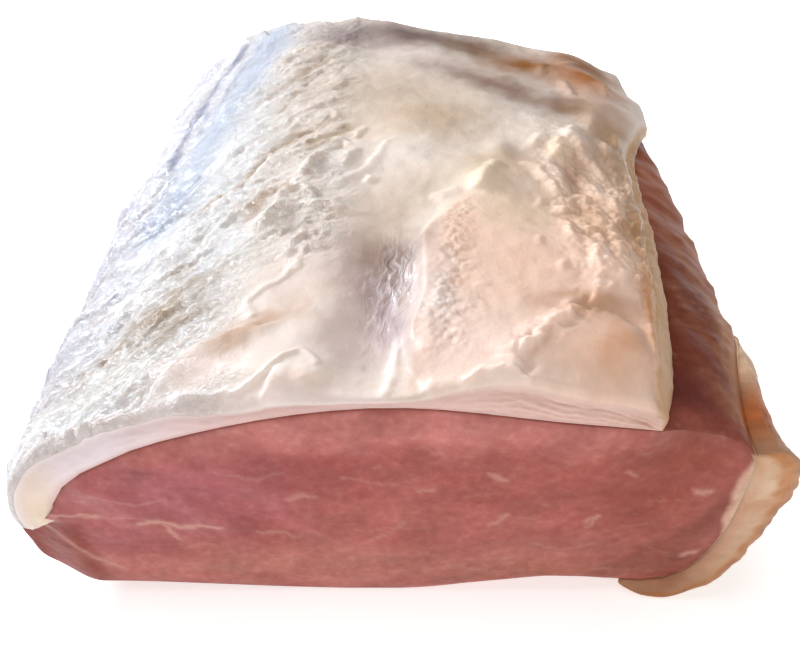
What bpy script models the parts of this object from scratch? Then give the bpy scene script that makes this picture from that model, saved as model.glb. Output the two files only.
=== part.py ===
"""Raw pork loin joint, cut square at both ends: the lean, its fat cap and the strip of side fat."""
import bmesh
import bpy
import numpy as np

# Sizes are in millimetres: x across the joint, y from the front cut to the rear cut, z up.
MM = 0.001
LENGTH = 186.0
FRONT, REAR = -LENGTH / 2, LENGTH / 2
SHIFT = (-0.1, 1.2)     # the sections below are drawn this far left of and before the frame
GAP = 0.35              # clear space between the fat and the lean

# The lean's outline at the front cut, clockwise from under its middle:
# across, up, and how far the point has moved across and up by mid-length.
SOLE = [(0, 0, 0, 0), (-50, 2.5, 0, -2.5), (-71, 6.1, 1, -3.6)]
FLANK = [(-84, 9.5, 0.5, -1), (-87.6, 17, 0, 0), (-87.9, 24.3, 0, -0.5)]
LEDGE = [(-77.6, 30, 0, 0), (-76, 36, 0, 0)]
CROWN = [(-70, 45.2, 0, 0), (-61, 51.6, 0, 0.3), (-49.6, 58, 0.5, 0.5), (-28.7, 65, 0, 0.5),
         (-9.5, 68.6, 0, 0.2), (7.5, 68.5, 0, 0.2), (30.8, 64.8, 0, 1.5), (50, 62.3, 0, 0.5)]
SHOULDER = [(64, 60, 1.5, -0.5), (72, 54, 9, -4)]
SIDE = [(73.8, 39, 12.6, 3), (73.6, 22.5, 10.5, 5), (69.5, 10, 8, -1)]
HEEL = [(60, 4.4, 3, -3.4), (34, 6.3, 0, -6.3)]
OUTLINE = np.array(SOLE + FLANK + LEDGE + CROWN + SHOULDER + SIDE + HEEL, float)
LEDGE_POINT = len(SOLE + FLANK)
SIDE_POINT = len(SOLE + FLANK + LEDGE + CROWN + SHOULDER + SIDE)
SPAN = 24               # samples between two points of the outline
NORMAL_REACH = 0.8      # half the length over which the outline's direction is taken

MID_FROM, MID_TO = -93.0, -42.0      # where the right side swells to its full width
TAPER_FROM, TAPER_TO = 25.0, 93.0    # where the crown falls towards the rear
CROWN_DROP = 7.4
FLANK_IN = 1.6

FACET_DEPTH = 3.5       # how far the cut's lower left corner falls back
FACET_FROM, FACET_TO = 73.0, 86.0
FACE_CENTRE = (-58.0, 52.0, 33.0)    # the cut face's middle line: left end, right end, height
FACE_BULGE = ((0.86, 0.3), (0.5, 0.9))   # rings of the cut face: share of its size, how far out
CUT_INSET = 0.8         # rounding of the lean's rim at the cuts

# Thickness of the fat cap across the joint: at the front cut, behind it and at the rear.
FRONT_AT = [-78, -71, -61, -50, -42, -35, -28, -21, -13, -4, 2, 6, 12, 17, 22, 28, 34, 41, 51, 80]
FRONT_FAT = [10.6, 10.2, 9.2, 8.6, 8, 6, 4.8, 4.8, 3.2, 2.2, 3, 5, 8.5, 10.3, 10.5, 9.6, 8.9, 8.2, 7, 5]
BODY_AT = [-78, -71, -61, -40, -20, -4, 8, 20, 30, 41, 52, 70, 80]
BODY_FAT = [10.6, 10.2, 9.2, 8.5, 7, 5.5, 5.5, 6.5, 7, 6.8, 6.5, 5.5, 5.5]
REAR_FAT = [9.4, 8.8, 7.2, 6.6, 5, 4, 4, 4, 4, 4.2, 4, 5, 8]
FRONT_FADE = 9.0        # length over which the front cut's thickness passes into the body's
LEAST_FAT = 1.2

# Left edge of the raised right lobe, and the step and hollow along it.
STEP_Y = [-94, -79, -66, -49, -35, -20, -5, 6, 20]
STEP_X = [6, 1, 3.8, 4.1, 9.6, 18, 27, 40, 52]
STEP_UP, STEP_WIDTH = 3.0, 5.0
HOLLOW_DOWN, HOLLOW_OFF, HOLLOW_WIDTH = 3.0, 7.0, 8.0
STEP_END = 22.0

# Bumps and hollows of the fat: x, y, half length, half width, turn in degrees, height.
RELIEF = [
    (-3, -62, 16, 6, 82, -1.6), (57, 62, 18, 13, 80, 2.4), (32, 38, 24, 8, -35, -2.0),
    (41, -80, 13, 9, 15, 1.4), (27, -80, 9, 2.6, 48, 1.4), (21, -22, 7, 3.6, 65, 1.9),
    (26, -3, 6, 3.4, 70, 1.6), (49, 3, 7, 3.2, 75, 2.2), (57, 22, 7, 3.2, 75, 2.0),
    (46, -36, 6, 2.4, 100, 1.4), (53, -28, 6, 2.2, 80, 1.3), (40, -14, 6, 2.6, 110, 1.3),
    (50, -46, 5, 2.4, 70, 1.2), (-39, -9, 21, 3.2, 46, -2.0), (-33, -13, 17, 3.0, 50, 1.2),
    (-22, -17, 11, 3.4, 75, 1.7), (-28, -37, 13, 3.6, 60, 1.6), (-39, -82, 13, 4.0, 38, 1.5),
    (-13, -10, 7, 3.0, 70, 1.2), (-58, -52, 16, 5.0, 30, -1.0), (-62, 10, 30, 5.0, 60, -0.9),
    (-40, 40, 22, 6.0, 50, 0.9), (4, 72, 26, 9, 0, -0.9), (-24, 62, 14, 7, 30, 0.8),
    (-76, -60, 18, 9, 90, 1.2), (-76, 45, 20, 9, 90, -1.8),
]
LUMP_SIZE, LUMP_HEIGHT = 15.0, 0.35  # slow unevenness between the larger forms

# The cap's right edge on the lean, how far its top corner leans in, and its left end.
EDGE_Y = [-94, -84, -71, -57, -43, -27, -10, 5, 30, 45, 60, 93]
EDGE_X = [50.6, 55.5, 58.7, 61.4, 63.5, 66, 67.3, 69, 76, 81.5, 83, 82.4]
EDGE_LEAN_Y = [-93, -88, -78, 10, 40, 93]
EDGE_LEAN = [0.0, 1.5, 4.2, 4.2, 2.0, 1.5]
END_DROP, END_LENGTH = 5.8, 10.0     # the left end hangs down onto the lean's ledge
EDGE_LEAN_LENGTH = 16.0              # width over which the top leans in
EDGE_ROUND = 1.1                     # rounding of the cap's rims
LEFT_ROUND_LENGTH, RIGHT_ROUND_LENGTH = 4.0, 5.0
LEDGE_GAP = 0.6         # the cap starts this far above the ledge's inner corner

# The side fat: where its top lies on the lean's side, its thickness there, where its lower
# end lies under the lean, and how far that end stands out of the front cut.
SIDE_Y = [-93, -80, -68, -60, -50, -42, -20, 93]
SIDE_TOP_X = [72.2, 75.5, 77.5, 79.5, 84.0, 86.4, 86.3, 86.0]
SIDE_TOP_Z = [54.5, 52.5, 50.5, 48.5, 44.5, 40.0, 35.0, 31.0]
SIDE_FAT = [11.8, 9.4, 7.8, 5.8, 3.4, 2.7, 2.5, 2.5]
SIDE_LOW_X = [54.0, 60.0, 65.0, 68.0, 69.0, 69.0, 69.0, 68.0]
SIDE_HEEL_FAT = 5.0     # thickness at the lower end of the front cut
SIDE_BACK_FAT = 2.4     # and behind y = HEEL_BACK
HEEL_BACK = -60.0
SIDE_EDGE = 1.25        # thickness left at the strip's rounded top and lower end
TOE_OUT = 3.4

ROWS = 22               # coarse rows along the joint
CAP_COLUMNS = 26        # coarse columns across the fat cap
BAND_COLUMNS = 3
SIDE_COLUMNS = 9
SOLE_COLUMNS = 13
FLANK_COLUMNS = 5
LEDGE_COLUMNS = 2
FINE = 2                # the outside of the cap has this many columns and rows for each coarse one
RIM = 1.0               # depth of the rounding at the two cuts

LEAN_COLOUR = (0.43, 0.13, 0.11, 1.0)
CAP_COLOUR = (0.78, 0.62, 0.50, 1.0)
SIDE_COLOUR = (0.72, 0.50, 0.34, 1.0)


def ramp(value, low, high):
    """0 below low, 1 above high and smooth between them."""
    t = np.clip((np.asarray(value, float) - low) / (high - low), 0.0, 1.0)
    return t * t * (3.0 - 2.0 * t)


def outline(y):
    """Dense closed outline of the lean at y: a smooth curve through the named points."""
    swell = ramp(y, MID_FROM, MID_TO)
    taper = ramp(y, TAPER_FROM, TAPER_TO)
    points = OUTLINE[:, :2] + OUTLINE[:, 2:] * swell
    x, z = points[:, 0].copy(), points[:, 1].copy()
    z -= taper * CROWN_DROP * ramp(x, -60.0, 55.0) * ramp(z, 25.0, 50.0)
    x += np.where(x < 0.0, FLANK_IN, -FLANK_IN) * taper * ramp(abs(x), 50.0, 80.0)
    p = np.stack([x, z], 1)
    before, after, beyond = np.roll(p, 1, 0), np.roll(p, -1, 0), np.roll(p, -2, 0)
    t = (np.arange(SPAN) / SPAN)[None, :, None]
    a, b, c, d = (q[:, None, :] for q in (before, p, after, beyond))
    curve = 0.5 * (2 * b + (c - a) * t + (2 * a - 5 * b + 4 * c - d) * t ** 2
                   + (3 * b - a - 3 * c + d) * t ** 3)
    curve = curve.reshape(-1, 2)
    curve[:, 1] = np.maximum(curve[:, 1], 0.0)
    return np.vstack([curve, curve])


def arc_lengths(curve):
    return np.r_[0.0, np.cumsum(np.hypot(*np.diff(curve, axis=0).T))]


def at_lengths(curve, lengths, where):
    """Points and outward normals of the outline at the given distances along it."""
    x = np.interp(where, lengths, curve[:, 0])
    z = np.interp(where, lengths, curve[:, 1])
    ahead, behind = where + NORMAL_REACH, where - NORMAL_REACH
    dx = np.interp(ahead, lengths, curve[:, 0]) - np.interp(behind, lengths, curve[:, 0])
    dz = np.interp(ahead, lengths, curve[:, 1]) - np.interp(behind, lengths, curve[:, 1])
    size = np.hypot(dx, dz) + 1e-9
    return np.stack([x, z], 1), np.stack([-dz / size, dx / size], 1)


def landmarks(y):
    """Distances along the outline to the ledge, the cap's edge, the top and the low end of the
    side fat, the flank, the ledge's corner and the ledge again."""
    curve = outline(y)
    lengths = arc_lengths(curve)
    count = len(OUTLINE) * SPAN
    ledge = lengths[LEDGE_POINT * SPAN]
    index = np.arange(len(curve))
    right = (index > LEDGE_POINT * SPAN + 2 * SPAN) & (curve[:, 0] > np.interp(y, EDGE_Y, EDGE_X))
    edge = lengths[np.argmax(right)]
    top = (np.interp(y, SIDE_Y, SIDE_TOP_X), np.interp(y, SIDE_Y, SIDE_TOP_Z))
    near = np.hypot(curve[:, 0] - top[0], curve[:, 1] - top[1])
    near[count:] = np.inf
    side_top = lengths[np.argmin(near)]
    below = (index > (SIDE_POINT - 1) * SPAN) & (curve[:, 0] < np.interp(y, SIDE_Y, SIDE_LOW_X))
    side_low = lengths[np.argmax(below)]
    left = [lengths[k * SPAN + count] for k in (len(SOLE), LEDGE_POINT - 1, LEDGE_POINT)]
    return curve, lengths, [ledge, edge, side_top, side_low] + left


def bump(x, y, feature):
    """A smooth oval hill or hollow."""
    cx, cy, half_length, half_width, turn, height = feature
    c, s = np.cos(np.radians(turn)), np.sin(np.radians(turn))
    along = ((x - cx) * c + (y - cy) * s) / half_length
    across = (-(x - cx) * s + (y - cy) * c) / half_width
    return height * np.exp(-(along ** 2 + across ** 2))


def cap_thickness(x, y):
    """Thickness of the fat cap over the lean at (x, y)."""
    back = ramp(y, FRONT, REAR)
    body = np.interp(x, BODY_AT, BODY_FAT) * (1 - back) + np.interp(x, BODY_AT, REAR_FAT) * back
    step = np.interp(y, STEP_Y, STEP_X)
    fade = 1 - ramp(y, STEP_END - 22.0, STEP_END)
    body = body + STEP_UP * ramp(x - step, -STEP_WIDTH / 2, STEP_WIDTH / 2) * fade
    body = body - HOLLOW_DOWN * np.exp(-((x - step + HOLLOW_OFF) / HOLLOW_WIDTH) ** 2) * fade
    for feature in RELIEF:
        body = body + bump(x, y, feature)
    u, v = x / LUMP_SIZE, y / LUMP_SIZE
    body = body + LUMP_HEIGHT * (np.sin(2.1 * u + 1.3 * v + 0.5) + np.sin(1.7 * v - 2.6 * u + 2.0)
                                 + np.sin(3.1 * v + 0.8 * u + 4.0))
    near = ramp(y, FRONT, FRONT + FRONT_FADE)
    front = np.interp(x, FRONT_AT, FRONT_FAT)
    return np.maximum(front * (1 - near) + body * near, LEAST_FAT)


def cap_points(y, columns, rim):
    """Inner and outer points of the cap's section at y, from its left end to its right edge."""
    curve, lengths, marks = landmarks(y)
    where = np.linspace(marks[0] + LEDGE_GAP, marks[1], columns + 1)
    point, normal = at_lengths(curve, lengths, where)
    inner = point + normal * GAP
    thick = cap_thickness(point[:, 0], np.full(columns + 1, y)) - rim
    from_left = where - where[0]
    from_right = where[-1] - where
    thick = thick - EDGE_ROUND * (1 - ramp(from_left, 0, LEFT_ROUND_LENGTH))
    thick = thick - EDGE_ROUND * (1 - ramp(from_right, 0, RIGHT_ROUND_LENGTH))
    outer = point + normal * thick[:, None]
    outer[:, 1] -= END_DROP * np.clip(1 - from_left / END_LENGTH, 0, 1) ** 2
    lean_in = np.interp(y, EDGE_LEAN_Y, EDGE_LEAN)
    outer[:, 0] -= lean_in * np.clip(1 - from_right / EDGE_LEAN_LENGTH, 0, 1) ** 2
    return inner, outer


def side_points(y, rim):
    """Inner and outer points of the side fat's section at y, from its top to its lower end."""
    curve, lengths, marks = landmarks(y)
    where = np.linspace(marks[2], marks[3], SIDE_COLUMNS + 1)
    point, normal = at_lengths(curve, lengths, where)
    q = np.linspace(0, 1, SIDE_COLUMNS + 1)
    low_fat = np.interp(y, [FRONT, HEEL_BACK], [SIDE_HEEL_FAT, SIDE_BACK_FAT])
    thick = np.interp(y, SIDE_Y, SIDE_FAT) * (1 - q) + low_fat * q
    full = np.sqrt(1 - np.abs(2 * q - 1) ** 6)
    inner = point + normal * GAP
    outer = point + normal * (SIDE_EDGE + (thick - SIDE_EDGE - rim) * full)[:, None]
    inner[:, 1] = np.maximum(inner[:, 1], 0.0)
    outer[:, 1] = np.maximum(outer[:, 1], 0.0)
    forward = TOE_OUT * ramp(q, 0.35, 0.8) * (1 - ramp(q, 0.85, 1.1)) * (y < FRONT + 2 * RIM)
    return inner, outer, y - forward


def lean_ring(y, inset):
    """The lean's outline at y, sampled where the fat is sampled and then round the underside."""
    curve, lengths, marks = landmarks(y)
    stops = [marks[0] + LEDGE_GAP] + marks[1:-1] + [marks[-1] + LEDGE_GAP]
    counts = [CAP_COLUMNS, BAND_COLUMNS, SIDE_COLUMNS, SOLE_COLUMNS, FLANK_COLUMNS, LEDGE_COLUMNS]
    runs = [np.linspace(a, b, n, endpoint=False) for a, b, n in zip(stops, stops[1:], counts)]
    point, normal = at_lengths(curve, lengths, np.concatenate(runs))
    return point - normal * inset


def facet(x, z):
    """How far the front cut falls back at its lower left corner."""
    return FACET_DEPTH * ramp(-x, FACET_FROM, FACET_TO) * ramp(33.0 - z, 0.0, 4.0)


class Skin:
    """A closed mesh put together from rows of points and the strips between them."""

    def __init__(self):
        self.mesh = bmesh.new()

    def row(self, points, y):
        y = np.broadcast_to(y, len(points))
        return [self.mesh.verts.new(((p[0] + SHIFT[0]) * MM, (q + SHIFT[1]) * MM, p[1] * MM)) for p, q in zip(points, y)]

    def strip(self, low, high, closed=False):
        """Two triangles between each pair of neighbours in two rows of the same length."""
        last = len(low) if closed else len(low) - 1
        for i in range(last):
            j = (i + 1) % len(low)
            self.mesh.faces.new((low[i], low[j], high[j]))
            self.mesh.faces.new((low[i], high[j], high[i]))

    def zip(self, many, few):
        """Triangles between two rows of different lengths that run side by side."""
        i = j = 0
        while i < len(many) - 1 or j < len(few) - 1:
            ahead = (i + 1) / (len(many) - 1) <= (j + 1) / (len(few) - 1)
            if i < len(many) - 1 and (ahead or j == len(few) - 1):
                self.mesh.faces.new((many[i], many[i + 1], few[j]))
                i += 1
            else:
                self.mesh.faces.new((many[i], few[j + 1], few[j]))
                j += 1

    def cap(self, ring):
        bmesh.ops.triangulate(self.mesh, faces=[self.mesh.faces.new(ring)])

    def finish(self, name, material):
        bmesh.ops.recalc_face_normals(self.mesh, faces=self.mesh.faces)
        data = bpy.data.meshes.new(name)
        self.mesh.to_mesh(data)
        self.mesh.free()
        data.materials.append(material)
        data.shade_smooth()
        data.set_sharp_from_angle(angle=np.radians(50))
        node = bpy.data.objects.new(name, data)
        bpy.context.scene.collection.objects.link(node)
        return node


def wet_material(name, colour, roughness):
    material = bpy.data.materials.new(name)
    material.use_nodes = True
    shader = material.node_tree.nodes["Principled BSDF"]
    shader.inputs["Base Color"].default_value = colour
    shader.inputs["Roughness"].default_value = roughness
    shader.inputs["Metallic"].default_value = 0.0
    return material


def coarse_rows():
    """y of the rows that the lean and the fat share, close together at the two cuts."""
    return np.r_[FRONT, np.linspace(FRONT + RIM, REAR - RIM, ROWS - 1), REAR]


def fine_rows():
    rows = coarse_rows()
    middle = np.linspace(rows[1], rows[-2], FINE * (ROWS - 2) + 1)
    return np.r_[rows[0], middle, rows[-1]]


def build_lean(material):
    skin = Skin()
    rows = coarse_rows()
    rings, outlines = [], []
    for i, y in enumerate(rows):
        at_cut = i in (0, len(rows) - 1)
        points = lean_ring(y, CUT_INSET if at_cut else 0.0)
        back = facet(points[:, 0], points[:, 1]) if i < 2 else 0.0
        rings.append(skin.row(points, y + back))
        outlines.append(points)
    for low, high in zip(rings, rings[1:]):
        skin.strip(low, high, closed=True)
    left, right, height = FACE_CENTRE
    for ring, points, y, sign in ((rings[0], outlines[0], FRONT, 1), (rings[-1], outlines[-1], REAR, -1)):
        middle = np.stack([np.clip(points[:, 0], left, right), np.full(len(points), height)], 1)
        for share, out in FACE_BULGE:
            smaller = middle + (points - middle) * share
            inner = skin.row(smaller, y - sign * out)
            skin.strip(ring, inner, closed=True)
            ring = inner
        skin.cap(ring)
    return skin.finish("lean_loin", material)


def build_cap(material):
    skin = Skin()
    rows, fine = coarse_rows(), fine_rows()
    inner = [skin.row(cap_points(y, CAP_COLUMNS, 0.0)[0], y) for y in rows]
    outer = []
    for i, y in enumerate(fine):
        at_cut = i in (0, len(fine) - 1)
        outer.append(skin.row(cap_points(y, FINE * CAP_COLUMNS, EDGE_ROUND if at_cut else 0.0)[1], y))
    for rings in (inner, outer):
        for low, high in zip(rings, rings[1:]):
            skin.strip(low, high)
    skin.zip(outer[0], inner[0])
    skin.zip(outer[-1], inner[-1])
    skin.zip([ring[0] for ring in outer], [ring[0] for ring in inner])
    skin.zip([ring[-1] for ring in outer], [ring[-1] for ring in inner])
    return skin.finish("fat_cap", material)


def build_side(material):
    skin = Skin()
    inner, outer = [], []
    for y in coarse_rows():
        inside, outside, front = side_points(y, EDGE_ROUND if abs(y) == REAR else 0.0)
        inner.append(skin.row(inside, front))
        outer.append(skin.row(outside, front))
    for rings in (inner, outer):
        for low, high in zip(rings, rings[1:]):
            skin.strip(low, high)
    for end in (0, -1):
        skin.strip([ring[end] for ring in outer], [ring[end] for ring in inner])
        skin.strip(outer[end], inner[end])
    return skin.finish("side_fat", material)


def main():
    for old in list(bpy.data.objects):
        bpy.data.objects.remove(old, do_unlink=True)
    build_lean(wet_material("lean", LEAN_COLOUR, 0.38))
    build_cap(wet_material("cap_fat", CAP_COLOUR, 0.42))
    build_side(wet_material("side_strip", SIDE_COLOUR, 0.45))


main()
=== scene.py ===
import math

import bpy
import numpy as np
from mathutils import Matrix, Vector


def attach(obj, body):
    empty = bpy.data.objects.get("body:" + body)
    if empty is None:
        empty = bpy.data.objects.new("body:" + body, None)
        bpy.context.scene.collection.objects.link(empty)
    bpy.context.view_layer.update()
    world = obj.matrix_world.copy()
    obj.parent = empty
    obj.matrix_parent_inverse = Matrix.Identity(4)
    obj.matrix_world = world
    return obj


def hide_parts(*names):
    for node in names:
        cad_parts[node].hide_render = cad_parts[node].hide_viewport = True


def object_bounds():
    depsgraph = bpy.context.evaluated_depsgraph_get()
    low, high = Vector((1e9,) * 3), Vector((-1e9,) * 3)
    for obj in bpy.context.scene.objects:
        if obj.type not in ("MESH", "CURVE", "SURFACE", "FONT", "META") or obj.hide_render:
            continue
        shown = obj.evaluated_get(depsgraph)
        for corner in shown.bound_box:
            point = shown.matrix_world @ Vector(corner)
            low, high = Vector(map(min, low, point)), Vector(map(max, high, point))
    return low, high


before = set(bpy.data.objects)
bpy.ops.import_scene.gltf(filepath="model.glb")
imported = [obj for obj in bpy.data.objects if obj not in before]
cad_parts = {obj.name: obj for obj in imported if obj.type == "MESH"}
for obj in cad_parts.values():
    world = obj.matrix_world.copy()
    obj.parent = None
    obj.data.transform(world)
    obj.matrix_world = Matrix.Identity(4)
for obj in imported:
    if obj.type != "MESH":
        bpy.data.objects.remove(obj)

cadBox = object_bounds()
print("frame loaded:", sorted(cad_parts))

# The joint as the frame has it, in millimetres: x across, y from the front cut to the rear, z up.
joint = {
    "front": -93.0, "rear": 93.0,
    "shift": (-0.1, 1.2),          # the sections are drawn this far left of and before the frame
    # The lean's outline at the front cut, clockwise from under its middle:
    # across, up, and how far the point has moved across and up by mid-length.
    "outline": [
        (0, 0, 0, 0), (-50, 2.5, 0, -2.5), (-71, 6.1, 1, -3.6),
        (-84, 9.5, 0.5, -1), (-87.6, 17, 0, 0), (-87.9, 24.3, 0, -0.5),
        (-77.6, 30, 0, 0), (-76, 36, 0, 0),
        (-70, 45.2, 0, 0), (-61, 51.6, 0, 0.3), (-49.6, 58, 0.5, 0.5), (-28.7, 65, 0, 0.5),
        (-9.5, 68.6, 0, 0.2), (7.5, 68.5, 0, 0.2), (30.8, 64.8, 0, 1.5), (50, 62.3, 0, 0.5),
        (64, 60, 1.5, -0.5), (72, 54, 9, -4),
        (73.8, 39, 12.6, 3), (73.6, 22.5, 10.5, 5), (69.5, 10, 8, -1),
        (60, 4.4, 3, -3.4), (34, 6.3, 0, -6.3),
    ],
    "solePoints": 3, "ledgePoint": 6, "sidePoint": 21,
    "span": 48,                    # samples between two points of the outline
    "swell": (-93.0, -42.0),       # where the right side swells to its full width
    "taper": (25.0, 93.0),         # where the crown falls towards the rear
    "crownDrop": 7.4, "flankIn": 1.6,
    "facetDepth": 3.5,             # how far the cut's lower left corner falls back
    # The fat cap's right edge on the lean.
    "edgeY": [-94, -84, -71, -57, -43, -27, -10, 5, 30, 45, 60, 93],
    "edgeX": [50.6, 55.5, 58.7, 61.4, 63.5, 66, 67.3, 69, 76, 81.5, 83, 82.4],
    # The side fat's top and low end on the lean.
    "sideY": [-93, -80, -68, -60, -50, -42, -20, 93],
    "sideTopX": [72.2, 75.5, 77.5, 79.5, 84.0, 86.4, 86.3, 86.0],
    "sideTopZ": [54.5, 52.5, 50.5, 48.5, 44.5, 40.0, 35.0, 31.0],
    "sideLowX": [54.0, 60.0, 65.0, 68.0, 69.0, 69.0, 69.0, 68.0],
    "marksBlur": 2.0,              # length over which the landmarks are evened out
}


def ramp(value, low, high):
    # 0 below low, 1 above high, and a cubic S between them
    t = np.clip((np.asarray(value, float) - low) / (high - low), 0.0, 1.0)
    return t * t * (3.0 - 2.0 * t)


def smoothTable(value, at, height):
    # a cubic through the table's points; the slope at each is the harmonic mean of its two sides
    at, height = np.asarray(at, float), np.asarray(height, float)
    rise = np.diff(height) / np.diff(at)
    product = rise[:-1] * rise[1:]
    both = np.where(product > 0, rise[:-1] + rise[1:], 1.0)
    slope = np.r_[rise[0], np.where(product > 0, 2 * product / both, 0.0), rise[-1]]
    value = np.clip(value, at[0], at[-1])
    k = np.clip(np.searchsorted(at, value, "right") - 1, 0, len(at) - 2)
    step = at[k + 1] - at[k]
    t = (value - at[k]) / step
    return ((1 + 2 * t) * (1 - t) ** 2 * height[k] + t * (1 - t) ** 2 * step * slope[k]
            + t * t * (3 - 2 * t) * height[k + 1] + t * t * (t - 1) * step * slope[k + 1])


def cellHash(i, j, seed):
    # a repeatable number from 0 to 1 for each whole-numbered cell
    n = (i * 374761393 + j * 668265263 + seed * 1274126177) & 0xFFFFFFFF
    n = ((n ^ (n >> 13)) * 1274126177) & 0xFFFFFFFF
    return ((n ^ (n >> 16)) & 0xFFFFFF) / 0xFFFFFF


def softNoise(u, v, seed):
    # gradient noise: a random direction at each cell corner, blended by a quintic; about -1 to 1
    i, j = np.floor(u).astype(np.int64), np.floor(v).astype(np.int64)
    fu, fv = u - i, v - j
    su, sv = fu ** 3 * (fu * (6 * fu - 15) + 10), fv ** 3 * (fv * (6 * fv - 15) + 10)
    total = 0.0
    for di in (0, 1):
        for dj in (0, 1):
            angle = 2 * np.pi * cellHash(i + di, j + dj, seed)
            corner = np.cos(angle) * (fu - di) + np.sin(angle) * (fv - dj)
            total = total + corner * (su if di else 1 - su) * (sv if dj else 1 - sv)
    return total * 1.5


def cloudNoise(u, v, seed, layers=4):
    # soft noise summed over layers, each half the size and half the height of the last
    return sum(softNoise(u * 2 ** k, v * 2 ** k, seed + k) * 0.5 ** k for k in range(layers))


def wrinkleNoise(u, v, seed, layers=3):
    # crests where soft noise crosses zero: one minus its size, squared, summed over layers
    return sum((1 - np.minimum(1, 2 * abs(softNoise(u * 2 ** k, v * 2 ** k, seed + k)))) ** 2
               * 0.5 ** k for k in range(layers))


def curdNoise(u, v, seed):
    # a rounded grain round each random point: one minus the squared distance to the nearest
    i, j = np.floor(u).astype(np.int64), np.floor(v).astype(np.int64)
    nearest = np.full(np.shape(u), 9.0)
    for di in (-1, 0, 1):
        for dj in (-1, 0, 1):
            px = i + di + 0.1 + 0.8 * cellHash(i + di, j + dj, seed)
            py = j + dj + 0.1 + 0.8 * cellHash(i + di, j + dj, seed + 7)
            nearest = np.minimum(nearest, (u - px) ** 2 + (v - py) ** 2)
    return 1 - np.minimum(1, nearest)


def flakeNoise(u, v, seed, sharp=0.3):
    # overlapping sheets: soft noise cut into level terraces with short slopes between them
    level = 3 * cloudNoise(u, v, seed, 2)
    return (np.floor(level) + ramp(level - np.floor(level), 0, sharp)) / 3


def turned(x, y, cx, cy, degrees):
    # distances along and across a line through (cx, cy) at an angle to x
    c, s = math.cos(math.radians(degrees)), math.sin(math.radians(degrees))
    return (x - cx) * c + (y - cy) * s, -(x - cx) * s + (y - cy) * c


def oval(x, y, cx, cy, halfLength, halfWidth, degrees):
    # a bell over an oval
    along, across = turned(x, y, cx, cy, degrees)
    return np.exp(-(along / halfLength) ** 2 - (across / halfWidth) ** 2)


def ridge(x, y, cx, cy, halfLength, left, right, degrees):
    # a crest of limited length, with its own width on each side
    along, across = turned(x, y, cx, cy, degrees)
    return np.exp(-(along / halfLength) ** 4 - (across / np.where(across > 0, left, right)) ** 2)


def nearPath(x, y, points):
    # distance to a chain of points, and the side of it that a point is on
    nearest, side = np.full(np.shape(x), 1e9), np.zeros(np.shape(x))
    for (ax, ay), (bx, by) in zip(points, points[1:]):
        dx, dy = bx - ax, by - ay
        t = np.clip(((x - ax) * dx + (y - ay) * dy) / (dx * dx + dy * dy), 0, 1)
        distance = np.hypot(x - ax - t * dx, y - ay - t * dy)
        closer = distance < nearest
        nearest = np.where(closer, distance, nearest)
        side = np.where(closer, np.sign(dx * (y - ay) - dy * (x - ax)), side)
    return nearest, side


def pathCrest(x, y, points, left, right):
    # a crest along a chain of points, with its own width on each side
    distance, side = nearPath(x, y, points)
    return np.exp(-(distance / np.where(side > 0, left, right)) ** 2)


def linear(colour):
    # a colour given as 0 to 255 on screen, as light
    c = np.asarray(colour, float) / 255
    return np.where(c <= 0.04045, c / 12.92, ((c + 0.055) / 1.055) ** 2.4)


def evenTone(colour, x):
    # one colour for every point of an array
    return np.broadcast_to(linear(colour), x.shape + (3,))


def blended(base, colour, weight):
    # base times one minus the weight, plus the colour times the weight
    weight = np.asarray(weight)[..., None]
    return base * (1 - weight) + linear(colour) * weight


def painted(base, x, y, patches):
    # soft oval patches of colour laid over one another: place, size, turn, colour, strength
    for *place, colour, strength in patches:
        base = blended(base, colour, strength * oval(x, y, *place))
    return base


def outlineAt(y):
    # closed smooth curve through the outline's points, moved by swell and taper for this y
    table = np.array(joint["outline"], float)
    swell, taper = ramp(y, *joint["swell"]), ramp(y, *joint["taper"])
    p = table[:, :2] + table[:, 2:] * swell
    p[:, 1] -= taper * joint["crownDrop"] * ramp(p[:, 0], -60, 55) * ramp(p[:, 1], 25, 50)
    p[:, 0] += np.where(p[:, 0] < 0, 1, -1) * joint["flankIn"] * taper * ramp(abs(p[:, 0]), 50, 80)
    a, b, c, d = (np.roll(p, k, 0)[:, None, :] for k in (1, 0, -1, -2))
    t = (np.arange(joint["span"]) / joint["span"])[None, :, None]
    curve = 0.5 * (2 * b + (c - a) * t + (2 * a - 5 * b + 4 * c - d) * t ** 2
                   + (3 * b - a - 3 * c + d) * t ** 3)
    curve = curve.reshape(-1, 2)
    curve[:, 1] = np.maximum(curve[:, 1], 0)
    curve = np.vstack([curve, curve])
    return curve, np.r_[0, np.cumsum(np.hypot(*np.diff(curve, axis=0).T))]


def crossing(curve, lengths, start, limit, rising):
    # distance along the curve where x first passes a limit after a starting sample
    past = curve[start:, 0] > limit if rising else curve[start:, 0] < limit
    k = start + int(np.argmax(past))
    share = (limit - curve[k - 1, 0]) / (curve[k, 0] - curve[k - 1, 0])
    return lengths[k - 1] + np.clip(share, 0, 1) * (lengths[k] - lengths[k - 1])


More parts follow.
